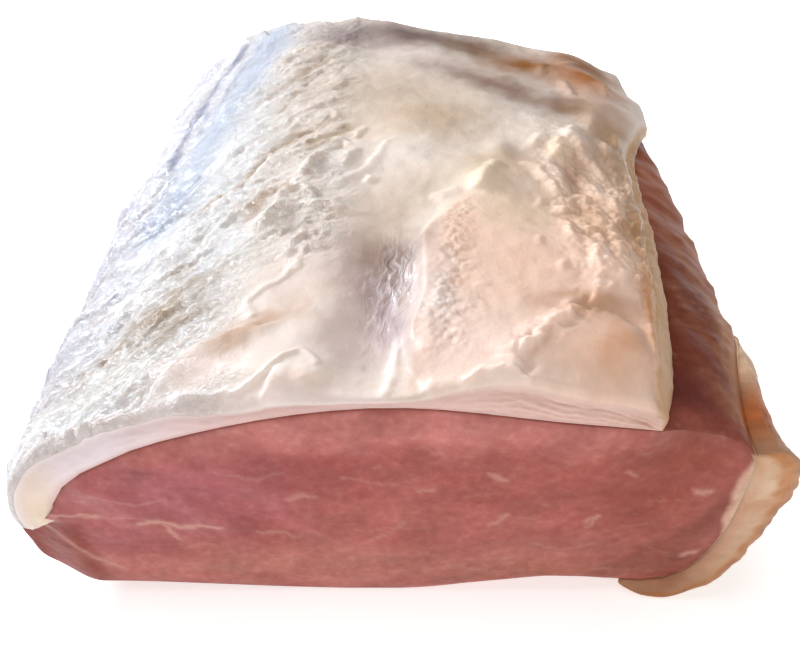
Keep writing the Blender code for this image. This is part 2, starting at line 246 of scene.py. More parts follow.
def landmarksAt(y, curve, lengths):
    # distances to the crown, ledge, cap edge, side fat's top and low end, flank, ledge corner, ledge
    span, count = joint["span"], len(joint["outline"]) * joint["span"]
    ledge = lengths[joint["ledgePoint"] * span]
    crown = crossing(curve, lengths, joint["ledgePoint"] * span, 0.0, True)
    edge = crossing(curve, lengths, (joint["ledgePoint"] + 2) * span,
                    smoothTable(y, joint["edgeY"], joint["edgeX"]), True)
    top = (smoothTable(y, joint["sideY"], joint["sideTopX"]),
           smoothTable(y, joint["sideY"], joint["sideTopZ"]))
    near = np.hypot(curve[:count, 0] - top[0], curve[:count, 1] - top[1])
    low = crossing(curve, lengths, (joint["sidePoint"] - 1) * span,
                   smoothTable(y, joint["sideY"], joint["sideLowX"]), False)
    after = [lengths[k * span + count] for k in (joint["solePoints"], joint["ledgePoint"] - 1,
                                                 joint["ledgePoint"])]
    return [crown, ledge, edge, lengths[int(np.argmin(near))], low] + after


def sectionsAt(rows):
    # outlines and evened-out landmarks of every row
    sections = [outlineAt(y) for y in rows]
    marks = np.array([landmarksAt(y, *section) for y, section in zip(rows, sections)])
    weight = np.exp(-((rows[:, None] - rows[None, :]) / joint["marksBlur"]) ** 2)
    # a straight line is fitted round each row, so the ends keep their slope
    evened = np.empty_like(marks)
    for k, w in enumerate(weight):
        off = rows - rows[k]
        s0, s1, s2 = w.sum(), (w * off).sum(), (w * off * off).sum()
        evened[k] = ((s2 - s1 * off) * w / (s0 * s2 - s1 * s1 + 1e-9)) @ marks
    return sections, evened


def alongSections(sections, stations):
    # points and outward directions at each row's stations, as whole rows
    out = []
    for (curve, lengths), where in zip(sections, stations):
        x, z = (np.interp(where, lengths, curve[:, k]) for k in (0, 1))
        dx, dz = (np.interp(where + 0.8, lengths, curve[:, k])
                  - np.interp(where - 0.8, lengths, curve[:, k]) for k in (0, 1))
        size = np.hypot(dx, dz) + 1e-9
        out.append((x, z, -dz / size, dx / size))
    return [np.array(part) for part in zip(*out)]


def rowsAlong(firstStep, lastStep, rim, rimRows):
    # y of the rows: a rounded rim at both cuts and steps that grow from the front to the rear
    length = joint["rear"] - joint["front"] - 2 * rim
    growth = math.log(lastStep / firstStep) / length
    count = round((1 / firstStep - 1 / lastStep) / growth)
    t = np.linspace(0, 1, count + 1)
    middle = -np.log(1 - t * (1 - firstStep / lastStep)) / growth
    bend = rim * (1 - np.cos(np.linspace(0, np.pi / 2, rimRows, endpoint=False)))
    return np.r_[joint["front"] + bend, joint["front"] + rim + middle, (joint["rear"] - bend)[::-1]]


def rimInset(rows, radius):
    # how far a rounded rim draws in: a quarter circle of this radius at each cut
    depth = np.minimum(rows - joint["front"], joint["rear"] - rows)
    return radius - np.sqrt(np.maximum(0, radius ** 2 - np.maximum(0, radius - depth) ** 2))


class Skin:
    # collects grids of points and the faces between their rows, then makes one closed mesh
    def __init__(self):
        self.points, self.faces, self.count, self.marks = [], [], 0, []

    def add(self, x, y, z, **marks):
        # adds points and returns their indices in the same arrangement; marks are values or colours
        x, y, z = np.broadcast_arrays(x, y, z)
        self.points.append(np.stack([x.ravel(), y.ravel(), z.ravel()], 1))
        self.marks.append({name: np.broadcast_to(value, x.shape + np.shape(value)[x.ndim:])
                           .reshape(x.size, -1) for name, value in marks.items()})
        index = np.arange(x.size).reshape(x.shape) + self.count
        self.count += x.size
        return index

    def grid(self, index, flip=False):
        # two triangles for each cell of a grid of indices
        a, b, c, d = index[:-1, :-1], index[:-1, 1:], index[1:, 1:], index[1:, :-1]
        faces = np.concatenate([np.stack([a, b, c], -1).reshape(-1, 3),
                                np.stack([a, c, d], -1).reshape(-1, 3)])
        self.faces.append(faces[:, ::-1] if flip else faces)

    def stitch(self, one, two, flip=False):
        # triangles between two rows of different counts: their next points are taken in turn
        steps = np.r_[np.linspace(0, 1, len(one))[1:], np.linspace(0, 1, len(two))[1:]]
        fromOne = np.r_[np.ones(len(one) - 1, bool), np.zeros(len(two) - 1, bool)]
        order = np.argsort(steps, kind="stable")
        fromOne = fromOne[order]
        i = np.cumsum(fromOne) - fromOne
        j = np.cumsum(~fromOne) - ~fromOne
        third = np.where(fromOne, one[np.minimum(i + 1, len(one) - 1)],
                         two[np.minimum(j + 1, len(two) - 1)])
        faces = np.stack([one[i], third, two[j]], 1)
        self.faces.append(faces[:, ::-1] if flip else faces)

    def closeCut(self, row, outer, one, band, two, inner):
        # a cut: its band of points joined to the outer edge, both walls and the inner edge
        band = np.concatenate([one[row][:, None], band, two[row][:, None]], 1)
        band = np.concatenate([outer[row][None], band], 0)
        self.grid(band, flip=(row == 0))
        self.stitch(band[-1], inner[row], flip=(row == 0))

    def finish(self, name, material):
        # moves the points from the drawing to the frame, in metres, and makes the mesh and object
        points = np.concatenate(self.points)
        shift = joint["shift"]
        points = (points + np.array([shift[0], shift[1], 0.0])) * 0.001
        faces = np.concatenate(self.faces)
        mesh = bpy.data.meshes.new(name)
        mesh.vertices.add(len(points))
        mesh.vertices.foreach_set("co", heldInBox(points).ravel())
        mesh.loops.add(faces.size)
        mesh.loops.foreach_set("vertex_index", faces.ravel())
        mesh.polygons.add(len(faces))
        mesh.polygons.foreach_set("loop_start", np.arange(0, faces.size, 3))
        mesh.polygons.foreach_set("use_smooth", np.ones(len(faces), bool))
        mesh.update(calc_edges=True)
        sizes = {name: value.shape[1] for marks in self.marks for name, value in marks.items()}
        for key, size in sizes.items():
            data = np.concatenate([marks.get(key, np.zeros((len(part), size)))
                                   for marks, part in zip(self.marks, self.points)])
            if size == 3:
                layer = mesh.attributes.new(key, "FLOAT_COLOR", "POINT")
                layer.data.foreach_set("color", np.c_[data, np.ones(len(data))].ravel())
            else:
                layer = mesh.attributes.new(key, "FLOAT", "POINT")
                layer.data.foreach_set("value", data.ravel())
        mesh.materials.append(material)
        mesh.validate()
        piece = bpy.data.objects.new(name, mesh)
        bpy.context.scene.collection.objects.link(piece)
        print("piece:", name, len(mesh.polygons), "triangles")
        return piece


def wallBetween(ax, az, bx, bz, share, push):
    # points on the line between two edges, each pushed out square to the line
    dx, dz = bx - ax, bz - az
    size = np.hypot(dx, dz) + 1e-9
    return ax + dx * share - dz / size * push, az + dz * share + dx / size * push


def heldInBox(points, soft=0.0012, margin=0.00003):
    # eases points that come within soft of the CAD box's sides back inside it
    low, high = np.array(cadBox[0]) + margin, np.array(cadBox[1]) - margin
    held = points.copy()
    over = (points - (high - soft)) / soft
    held = np.where(over > 0, high - soft + soft * np.tanh(np.maximum(over, 0)), held)
    under = ((low + soft) - points) / soft
    under[:, 2] = 0.0                                # the underside stays flat on the floor
    held = np.where(under > 0, low + soft - soft * np.tanh(np.maximum(under, 0)), held)
    held[:, 2] = np.maximum(held[:, 2], low[2])
    return held


class Wire:
    # a socket of a node tree; arithmetic on it adds Math nodes
    def __init__(self, tree, socket):
        self.tree, self.socket = tree, socket

    def maths(self, operation, *values):
        return shaderNode(self.tree, "ShaderNodeMath", {"operation": operation},
                          dict(enumerate(values)))

    def __add__(self, other): return self.maths("ADD", self, other)
    def __radd__(self, other): return self.maths("ADD", other, self)
    def __sub__(self, other): return self.maths("SUBTRACT", self, other)
    def __rsub__(self, other): return self.maths("SUBTRACT", other, self)
    def __mul__(self, other): return self.maths("MULTIPLY", self, other)
    def __rmul__(self, other): return self.maths("MULTIPLY", other, self)
    def __truediv__(self, other): return self.maths("DIVIDE", self, other)
    def __pow__(self, other): return self.maths("POWER", self, other)
    def absolute(self): return self.maths("ABSOLUTE", self)

    def between(self, low, high):
        # 0 at low, 1 at high, smooth between
        return shaderNode(self.tree, "ShaderNodeMapRange", {"interpolation_type": "SMOOTHSTEP"},
                          {"Value": self, "From Min": low, "From Max": high})


def shaderNode(tree, kind, settings, values, output=0):
    # one node: settings first, then its sockets' values or links
    node = tree.nodes.new(kind)
    for key, value in settings.items():
        setattr(node, key, value)
    for key, value in values.items():
        socket = node.inputs[key]
        if isinstance(value, Wire):
            tree.links.new(value.socket, socket)
        else:
            socket.default_value = value
    return Wire(tree, node.outputs[output])


def mixColour(factor, one, two, blend="MIX"):
    # one colour to another by a factor
    tree = next(w.tree for w in (factor, one, two) if isinstance(w, Wire))
    return shaderNode(tree, "ShaderNodeMix", {"data_type": "RGBA", "blend_type": blend},
                      {0: factor, 6: one, 7: two}, output=2)


def tinted(colour, *washes):
    # a colour multiplied by one tint after another, each as far as its mask says
    for mask, tint in washes:
        colour = mixColour(mask, colour, tint, "MULTIPLY")
    return colour


def noiseAt(tree, where, scale, detail=3.0, rough=0.55, distortion=0.0):
    # layered soft noise from a node, about 0 to 1
    return shaderNode(tree, "ShaderNodeTexNoise", {},
                      {"Vector": where, "Scale": scale, "Detail": detail, "Roughness": rough,
                       "Distortion": distortion})


def foldedNoise(tree, where, scale, distortion, detail=4.0):
    # noise folded at its middle, so that its crests are thin lines near 1
    noise = noiseAt(tree, stretched(tree, where, scale), 1.0, detail, 0.6, distortion)
    return 1 - 2 * (noise - 0.5).absolute()


def wetMaterial(name, constants, build):
    # a Principled material: constants on its own sockets, and what varies from build(tree)
    material = bpy.data.materials.new(name)
    material.use_nodes = True
    tree = material.node_tree
    shader = tree.nodes["Principled BSDF"]
    for key, value in constants.items():
        shader.inputs[key].default_value = value
    for key, wire in build(tree).items():
        tree.links.new(wire.socket, shader.inputs[key])
    return material


def objectPlace(tree, stretch=(1, 1, 1), turn=(0, 0, 0)):
    # a point's place on the piece in metres, turned and then stretched
    place = shaderNode(tree, "ShaderNodeTexCoord", {}, {}, output=3)
    return shaderNode(tree, "ShaderNodeMapping", {"vector_type": "POINT"},
                      {"Vector": place, "Scale": stretch, "Rotation": turn})


def stretched(tree, vector, scale):
    # a vector times a scale along each axis
    return shaderNode(tree, "ShaderNodeMapping", {"vector_type": "POINT"},
                      {"Vector": vector, "Scale": scale})


def attribute(tree, name, output=2):
    # a mark of the mesh: as a colour from output 0, a vector from 1, a number from 2
    return shaderNode(tree, "ShaderNodeAttribute", {"attribute_name": name}, {}, output=output)


def bumpFrom(tree, height, distance, strength=1.0):
    # a normal tilted as a height of this many metres would tilt it
    return shaderNode(tree, "ShaderNodeBump", {},
                      {"Height": height, "Distance": distance, "Strength": strength})


# The fat cap, in millimetres and degrees; colours are 0 to 255 as on screen.
capLook = {
    "columns": 272, "wallColumns": 18, "innerColumns": 20,
    "firstStep": 0.5, "lastStep": 1.08, "rimRadius": 2.0, "rimRows": 8,
    "rimShare": 0.42,              # of the fat's thickness, the most that the rim draws in
    "gap": -0.12,                  # the fat is grown onto the lean
    "frontAt": [-78, -71, -61, -50, -42, -35, -28, -21, -13, -4, 2, 6, 12, 17, 22, 28, 34, 41, 51, 80],
    "frontFat": [10.6, 10.2, 9.2, 8.6, 8, 6, 4.8, 4.8, 3.2, 2.2, 3, 5, 8.5, 10.3, 10.5, 9.6, 8.9,
                 8.2, 7, 5],
    "bodyAt": [-78, -71, -61, -40, -20, -4, 8, 20, 30, 41, 52, 70, 80],
    "bodyFat": [10.6, 10.2, 9.2, 8.5, 7, 5.5, 5.5, 6.5, 7, 6.8, 6.5, 5.5, 5.5],
    "rearFat": [9.4, 8.8, 7.2, 6.6, 5, 4, 4, 4, 4, 4.2, 4, 5, 8],
    "frontFade": 9.0, "leastFat": 1.2,
    "stepY": [-94, -79, -66, -49, -35, -20, -5, 6, 20],      # left edge of the raised right lobe
    "stepX": [6, 1, 3.8, 4.1, 9.6, 18, 27, 40, 52],
    "stepUp": 3.0, "stepWidth": (2.4, 12.0), "stepFade": (-58.0, -18.0),  # narrow, then wide and gone
    "hollow": (3.0, 7.0, 8.0),                               # depth, distance from the step, width
    # Large hills and hollows: x, y, half length, half width, turn, height.
    "relief": [
        (-3, -62, 16, 6, 82, -1.6), (57, 62, 18, 13, 80, 2.4), (32, 38, 24, 8, -35, -2.0),
        (41, -80, 12, 8, 15, 1.8), (21, -22, 7, 3.6, 65, 1.3),
        (26, -3, 6, 3.4, 70, 1.6), (49, 3, 7, 3.2, 75, 2.2), (57, 22, 7, 3.2, 75, 2.0),
        (46, -36, 6, 2.4, 100, 1.4), (53, -28, 6, 2.2, 80, 1.3), (40, -14, 6, 2.6, 110, 1.3),
        (50, -46, 5, 2.4, 70, 1.2), (-39, -9, 21, 3.2, 46, -2.0), (-33, -13, 17, 3.0, 50, 1.2),
        (-22, -17, 11, 3.4, 75, 1.7), (-28, -37, 13, 3.6, 60, 1.6), (-39, -82, 13, 4.0, 38, 1.5),
        (-13, -10, 7, 3.0, 70, 1.2), (-58, -52, 16, 5.0, 30, -1.0), (-62, 10, 30, 5.0, 60, -0.9),
        (-40, 40, 22, 6.0, 50, 0.9), (4, 72, 26, 9, 0, -0.9), (-24, 62, 14, 7, 30, 0.8),
        (-76, -60, 18, 9, 90, 1.2), (-73, 2, 28, 10, 90, 1.6), (-76, 45, 20, 9, 90, -1.8),
    ],
    "lumps": (15.0, 0.35),         # size and height of the broad unevenness
    "foldTurn": (27.0, 50.0),      # how steeply the membrane's folds climb, at the front and the rear
    # Crests: x, y, half length, width on the left, width on the right, turn, height.
    "crests": [
        (-1.5, -85, 7.5, 0.7, 1.2, 80, 0.8),                 # lip of the right lobe at the front
        (4.6, -89.5, 4.0, 0.9, 1.8, 92, 0.35),
        (-24, -90, 4.0, 1.0, 3.0, 62, 1.4), (-16.5, -89, 4.2, 2.6, 0.9, 14, 0.9),  # front flaps
        (20, -22, 5.5, 2.6, 2.4, 72, 2.0), (23.5, -14, 3.0, 1.8, 2.2, 62, 1.2),
        (11, -27, 3.4, 1.6, 2.0, 20, 1.1), (34, -12, 3.0, 1.4, 2.0, 130, 1.0),
        (37.5, -19, 5.5, 1.6, 2.2, 122, 1.7), (42, -1, 6.0, 2.2, 2.6, 72, 2.2),
        (46, 8, 4.0, 1.4, 2.2, 80, 1.6), (37, 3, 4.0, 1.4, 2.0, 60, 1.1),
        (52.5, -8, 4.6, 1.4, 2.2, 118, 1.5), (48, -21, 5.6, 2.6, 2.8, 105, 1.4),
        (56.5, -21, 3.6, 2.2, 2.0, 60, 1.0), (38, -33, 1.8, 1.6, 1.2, 60, 1.1),
        (37, -44, 4.0, 0.9, 1.3, 96, 1.0), (41, -54, 3.8, 0.9, 1.4, 72, 1.1),
        (34, -58, 1.8, 1.2, 1.2, 50, 0.9), (44.5, -45, 3.6, 0.9, 1.1, 88, 0.9),
        (46, -60, 2.2, 1.2, 1.2, 60, 1.0), (50.5, -59, 1.5, 0.9, 0.9, 40, 0.8),
        (48.5, -38, 2.6, 1.3, 1.0, 70, 1.0), (53, -33, 2.6, 0.8, 0.9, 44, 0.8),
        (60, -32, 2.6, 0.8, 0.9, 40, 0.8), (60, -38, 3.0, 0.8, 1.0, 36, 0.8),
        (58.5, -45, 3.0, 0.8, 1.0, 40, 0.8), (56, -52, 2.6, 0.8, 0.9, 48, 0.7),
        (43, -41, 1.6, 0.9, 0.8, 10, 0.7), (30, -49, 2.4, 0.8, 1.2, 70, 0.5),
        (62, -14, 3.4, 1.0, 1.4, 76, 0.9), (58, 6, 4.0, 1.1, 1.8, 80, 1.1),
        (64, 16, 4.0, 1.2, 1.6, 84, 0.9), (49, 14, 3.6, 1.0, 1.6, 66, 1.0),
        (16, -65, 1.6, 0.5, 0.9, 8, 0.5), (33, -30, 3.0, 0.9, 1.4, 80, 0.6),
        (-22, -17, 6.0, 2.2, 1.0, 66, 1.1), (-18, -7, 5.0, 2.2, 1.0, 62, 1.0),
        (-36, -27, 6.0, 1.8, 0.9, 52, 0.9), (-30, -38, 5.5, 2.0, 0.9, 58, 1.0),
        (-23, -47, 5.0, 1.8, 0.8, 60, 0.8), (-12, -12, 5.0, 1.8, 0.9, 74, 0.9),
        (-11, 3, 4.0, 1.6, 0.9, 70, 0.8), (-7, -22, 1.8, 1.2, 0.9, 60, 0.8),
        (-43, -33, 6.0, 1.6, 0.9, 44, 0.7), (-27, 14, 7.0, 2.2, 1.2, 52, 0.8),
        (-36, 27, 8.0, 2.4, 1.4, 50, 0.8), (-19, 30, 6.0, 2.4, 1.4, 48, 0.7),
        (-50, -4, 9.0, 1.8, 1.0, 48, 0.8), (-45, 10, 10.0, 2.0, 1.2, 52, 0.7),
        (54, 47, 6.0, 2.2, 1.4, 96, 1.0), (47, 62, 5.0, 1.8, 1.4, 80, 0.7),
        (66, 52, 7.0, 2.2, 1.6, 88, 0.9), (60, 78, 6.0, 2.0, 1.6, 60, 0.8),
    ],
    # Crests along a path: its points, width on the left, width on the right, height.
    "paths": [
        ([(-48, -89), (-41, -80), (-35, -77), (-29, -75)], 0.8, 3.4, 1.0),
        ([(-43, -90), (-36, -90.3), (-30, -90), (-26, -88), (-22, -83), (-19, -82), (-15, -86)],
         0.45, 0.55, 0.75),
        ([(-21, -50), (-22, -56), (-26, -61), (-32, -66), (-30, -72)], 0.5, 1.3, 0.5),
        ([(-21, -35), (-15, -36.5), (-9, -37)], 1.6, 0.6, 0.9),
        ([(-60, -62), (-50, -58), (-42, -50)], 0.7, 1.8, 0.6),
        ([(-55, -74), (-47, -69), (-39, -66)], 0.6, 1.8, 0.6),
        ([(21, -91), (23.5, -86), (26.5, -82), (30.5, -78), (35, -74)], 1.2, 1.0, -0.8),
        ([(11, -91.6), (13.5, -90.6), (17, -90.2), (20, -91), (22, -92.4)], 0.5, 0.8, 0.9),
        ([(35, -72), (42, -70), (48, -73), (50, -82), (50.5, -92)], 2.8, 2.2, -0.7),
        ([(-52, -26), (-47, -20), (-41, -14), (-34, -3), (-25, 5)], 1.6, 1.2, -0.9),
        ([(-39, -29), (-31, -25)], 1.2, 1.0, -0.7),
        ([(-16, -25), (-8, -16), (-3, -2)], 0.7, 1.8, 0.5),
        ([(5, -84), (4, -78), (7, -68)], 0.8, 1.8, 0.5),
    ],
    # Curls: x, y, radius, width of the rim, first angle, sweep, height.
    "curls": [
        (-25, -31, 4.3, 0.9, -20, 210, 1.3), (50, -49, 3.0, 0.8, 10, 170, 1.0),
        (-17, -4, 3.6, 0.8, -30, 150, 0.8), (44, -27, 2.6, 0.8, 20, 190, 0.8),
    ],
    # Calmer sheets between the wrinkles: x, y, half length, half width, turn.
    "smooth": [(-50, 64, 16, 9, 78), (-56, 14, 16, 5, 66), (-60, -32, 14, 3, 56),
               (-60, -64, 9, 3.5, 25), (-49, -71, 8, 3, 25), (-38, -84, 12, 4, 38)],
    "wisp": {"from": (-45.5, 87.5, 66.2), "reach": 4.6, "rise": 2.6, "radius": 0.55, "rows": 14,
             "sides": 8, "colour": (206, 200, 200)},
    # Paths of the lumpy roll beside the dome and of the column of curds on the lobe.
    "roll": [(19, -86.5), (22.5, -82.5), (27, -78.5), (32, -74), (37, -70), (41, -64), (44, -57)],
    "curdPath": [(9, -82), (8, -70), (11, -58), (12, -46), (15, -34)],
    "creaseAt": [14, 22, 38, 48, 52], "creaseDepth": [2.6, 2.4, 2.2, 3.4, 4.2],  # crease in the cut
    "edgeLeanY": [-93, -90, -86, -78, 10, 40, 93], "edgeLean": [1.0, 3.4, 5.4, 6.2, 4.8, 2.4, 1.5],
    "edgeLeanLength": 16.0,        # width over which the right side's top leans in
    "endDrop": 8.2, "endLength": 10.0,                       # the left end hangs onto the ledge
    "edgeRound": 1.1, "leftRound": 4.0, "rightRound": 5.0, "ledgeGap": 0.6, "leastEdge": 0.7,
    # leftWhiteAndReflection is the left membrane's pale film, partly painted cool reflection
    "cream": (240, 229, 221), "leftWhiteAndReflection": (253, 253, 255), "lobePink": (243, 213, 198),
    "cutWhite": (223, 191, 186), "sheetBeige": (206, 190, 170), "edgeLilac": (172, 172, 198),
    "frontWhite": (242, 228, 226), "brim": (204, 166, 122),
    # Streaks: path of (x, y), half width, colour, strength.
    "streaks": [
        # painted reflection: the first, wide pale blue streak stands for cool light mirrored by the
        # left membrane
        ([(-45, 84), (-50, 60), (-55, 30), (-60, 0), (-64, -25)], 7.5, (202, 213, 234), 0.8),
        ([(-57, 84), (-62, 66), (-66, 50), (-68, 30), (-69, 8)], 2.0, (138, 140, 170), 0.8),
        ([(-50, 82), (-56, 60), (-60, 44), (-63, 26)], 0.9, (168, 178, 206), 0.6),
        ([(-56, -14), (-62, -24), (-68, -30)], 1.0, (178, 184, 206), 0.6),
        ([(-52, 2), (-60, -8), (-67, -14)], 0.9, (182, 188, 210), 0.5),
        ([(-58, -38), (-66, -46), (-71, -52)], 1.2, (184, 190, 210), 0.5),
        # the tan streaks from here on are partly the membrane's own tan and partly painted shade in
        # the grooves between folds
        ([(-52, -26), (-47, -20), (-41, -14), (-34, -4), (-27, 4)], 2.2, (188, 154, 118), 0.8),
        ([(-24, -6), (-19, 0), (-15, 6)], 2.2, (184, 156, 120), 0.7),
        ([(-33, 42), (-28, 48), (-22, 54)], 1.6, (186, 162, 136), 0.6),
        ([(-36, 22), (-31, 30), (-25, 34)], 1.4, (194, 170, 148), 0.5),
        ([(-38, -34), (-33, -27), (-27, -22)], 1.4, (196, 164, 142), 0.5),
        ([(-42, 30), (-36, 38), (-29, 46)], 1.2, (190, 168, 148), 0.5),
        ([(-38, 54), (-31, 62), (-24, 68)], 1.3, (188, 164, 142), 0.5),
        ([(-28, 22), (-21, 30), (-14, 36)], 1.2, (196, 174, 150), 0.5),
        ([(-32, -6), (-27, 2), (-20, 12)], 1.2, (192, 166, 140), 0.5),
    ],
    # Soft patches: x, y, half length, half width, turn, colour, strength.
    "patches": [
        (-53.5, -64.5, 10, 5, 25, (182, 160, 136), 0.95), (-47, -69, 8, 3, 25, (176, 152, 130), 0.9),
        (-63, -70, 6, 2.6, 30, (176, 154, 132), 0.85), (-54, -50, 8, 3, 40, (204, 188, 170), 0.7),
        (-46, -58, 9, 3, 35, (206, 190, 172), 0.6), (-40, -84, 13, 6, 36, (255, 240, 236), 0.9),
        (-35, -27, 6, 3, 30, (196, 166, 138), 0.7),
        (-20, -62, 12, 9, 20, (228, 210, 202), 0.8), (-14, -48, 8, 7, 0, (216, 198, 188), 0.7),
        (-6, -60, 15, 9, 80, (206, 186, 178), 0.85), (-3, -61, 13, 6, 82, (182, 158, 158), 0.8),
        (-0.4, -50, 9, 5.6, 80, (92, 54, 42), 0.95), (-2.5, -72, 7, 3.4, 82, (174, 152, 158), 0.7),
        (3.6, -88, 6, 3, 85, (214, 184, 168), 0.8),
        (-7, -50, 4, 3, 60, (168, 138, 126), 0.7), (-30, -76, 12, 4, 36, (204, 172, 150), 0.95),
        (-2, -75, 9, 5, 70, (184, 164, 168), 0.85), (-12, -80, 8, 5, 0, (212, 194, 190), 0.7),
        (-2, -36, 12, 10, 80, (224, 204, 188), 0.7), (5, -25, 12, 8, 60, (222, 204, 186), 0.6),
        (-17, -28, 10, 8, 60, (232, 220, 212), 0.6), (-12, 4, 18, 12, 40, (244, 230, 218), 0.8),
        (2, 30, 30, 18, 0, (204, 182, 160), 0.7), (10, 12, 18, 12, 0, (198, 174, 148), 0.8),
        (-24, 55, 24, 22, 0, (220, 206, 194), 0.7),
        (-19, 76, 14, 8, 0, (158, 138, 142), 0.8), (5, 82, 21, 11, 0, (110, 88, 88), 0.95),
        (26, 80, 14, 11, 0, (124, 92, 68), 0.9), (30, 42, 26, 9, -32, (142, 114, 104), 0.95),
        (52, 32, 9, 7, 0, (128, 96, 70), 0.85), (42, 66, 18, 15, 10, (136, 84, 24), 1.0),
        (62, 62, 12, 24, 0, (178, 106, 32), 0.95), (66, 84, 12, 9, 0, (152, 94, 36), 0.9),
        (20, -22, 5, 7, 0, (246, 232, 214), 0.9), (42, -1, 5, 7, 0, (244, 228, 204), 0.85),
        (37.5, -19, 3, 6, 30, (240, 222, 208), 0.7), (45, -14, 3.4, 8, 10, (176, 138, 120), 0.8),
        (30, -8, 5, 6, 0, (188, 160, 146), 0.7), (28, -34, 11, 8, 0, (222, 206, 180), 0.7),
        (7, -70, 6, 14, 10, (230, 218, 214), 0.9), (26, -60, 14, 12, 60, (239, 204, 184), 0.8),
        (24, -40, 12, 10, 60, (230, 200, 176), 0.7), (24, -14, 12, 11, 50, (216, 192, 164), 0.8),
        (46, -36, 11, 22, 0, (206, 172, 144), 0.85), (60, -36, 6, 30, 0, (184, 146, 106), 0.9),
        (57, -70, 6, 17, 0, (204, 138, 76), 0.95), (38, -84, 9, 8, 10, (236, 196, 172), 0.85),
        # partly painted shade: the tan-rose patch at (43, -80) darkens the dome's right side
        (43, -80, 7, 9, 0, (214, 164, 132), 0.9), (38, -69, 12, 3.5, 0, (196, 150, 120), 0.8),
        (50, -5, 12, 14, 0, (204, 172, 150), 0.75), (62, 12, 9, 22, 0, (180, 142, 106), 0.9),
        (14, -92, 9, 3, 5, (244, 228, 216), 0.8), (-20, -91, 12, 3, 5, (236, 210, 198), 0.7),
    ],
    # Tones of the cuts: x, depth under the outer skin, half sizes, turn, colour, strength.
    "cutPatches": [
        # partly painted reflection: the lilac-white patch at x -62 stands for cool light mirrored by
        # the left of the front band
        (-62, 5, 24, 14, 0, (218, 207, 214), 0.85), (30, 4, 26, 9, 0, (220, 184, 170), 0.8),
        (48, 5, 7, 9, 0, (208, 168, 150), 0.7), (-18, 2, 26, 5, 0, (208, 168, 162), 0.7),
        (-80, 8, 7, 9, 0, (226, 204, 176), 0.85),
    ],
    "cutBlush": (206, 148, 138), "leftEdge": (226, 198, 160), "rightEdge": (180, 138, 100),
}


def stepWidthAt(y):
    # narrow at the front, wide where the step fades
    front, rear = capLook["stepWidth"]
    return front + (rear - front) * ramp(y, -48, -8)


def capThickness(x, y):
    # tables blended from cut to cut, plus the lobe's step, the hollow beside it, hills and lumps
    look = capLook
    back = ramp(y, joint["front"], joint["rear"])
    body = (smoothTable(x, look["bodyAt"], look["bodyFat"]) * (1 - back)
            + smoothTable(x, look["bodyAt"], look["rearFat"]) * back)
    step = smoothTable(y, look["stepY"], look["stepX"])
    fade = 1 - ramp(y, *look["stepFade"])
    down, off, width = look["hollow"]
    body = body + look["stepUp"] * ramp((x - step) / stepWidthAt(y), -0.5, 0.5) * fade
    body = body - down * np.exp(-((x - step + off) / width) ** 2) * fade
    for *place, height in look["relief"]:
        body = body + height * oval(x, y, *place)
    size, height = look["lumps"]
    u, v = x / size, y / size
    body = body + height * (np.sin(2.1 * u + 1.3 * v + 0.5) + np.sin(1.7 * v - 2.6 * u + 2.0)
                            + np.sin(3.1 * v + 0.8 * u + 4.0))
    near = ramp(y, joint["front"], joint["front"] + look["frontFade"])
    front = smoothTable(x, look["frontAt"], look["frontFat"])
    return np.maximum(front * (1 - near) + body * near, look["leastFat"])


def capZones(x, y):
    # where each kind of surface lies on the cap, as weights from 0 to 1
    step = smoothTable(y, capLook["stepY"], capLook["stepX"])
    lobe = ramp((x - step) / stepWidthAt(y), -0.5, 0.6) * (1 - ramp(y, -44, 6))
    zones = {"left": ramp(-x, 26, 46), "lobe": lobe}
    zones["membrane"] = zones["left"] * (1 - 0.85 * oval(x, y, -38, -83, 14, 5, 40))
    zones["crag"] = (ramp(x, 31, 40) * ramp(y, -68, -54) * (1 - 0.6 * ramp(y, -12, 10))
                     * (1 - ramp(y, 10, 40)))
    zones["roll"] = pathCrest(x, y, capLook["roll"], 3.0, 3.0)
    curds = np.maximum(pathCrest(x, y, capLook["curdPath"], 3.6, 3.6), oval(x, y, 8, -74, 8, 7, 60))
    zones["curd"] = curds * lobe.clip(0.5 * ramp(-y, 15, 30), 1)
    zones["dimple"] = oval(x, y, -1.5, -61, 14, 5.4, 82) * (1 - lobe ** 2)
    zones["rim"] = ramp(x, 47, 54) * (1 - ramp(y, -50, -36)) * lobe
    zones["folds"] = (1 - zones["left"]) * (1 - lobe) * ramp(-x, 6, 20) * ramp(y, -60, -44)
    zones["dome"] = oval(x, y, 41, -81, 9.5, 8.5, 0) * lobe
    zones["smooth"] = np.clip(sum(oval(x, y, *place) for place in capLook["smooth"]), 0, 1)
    return zones


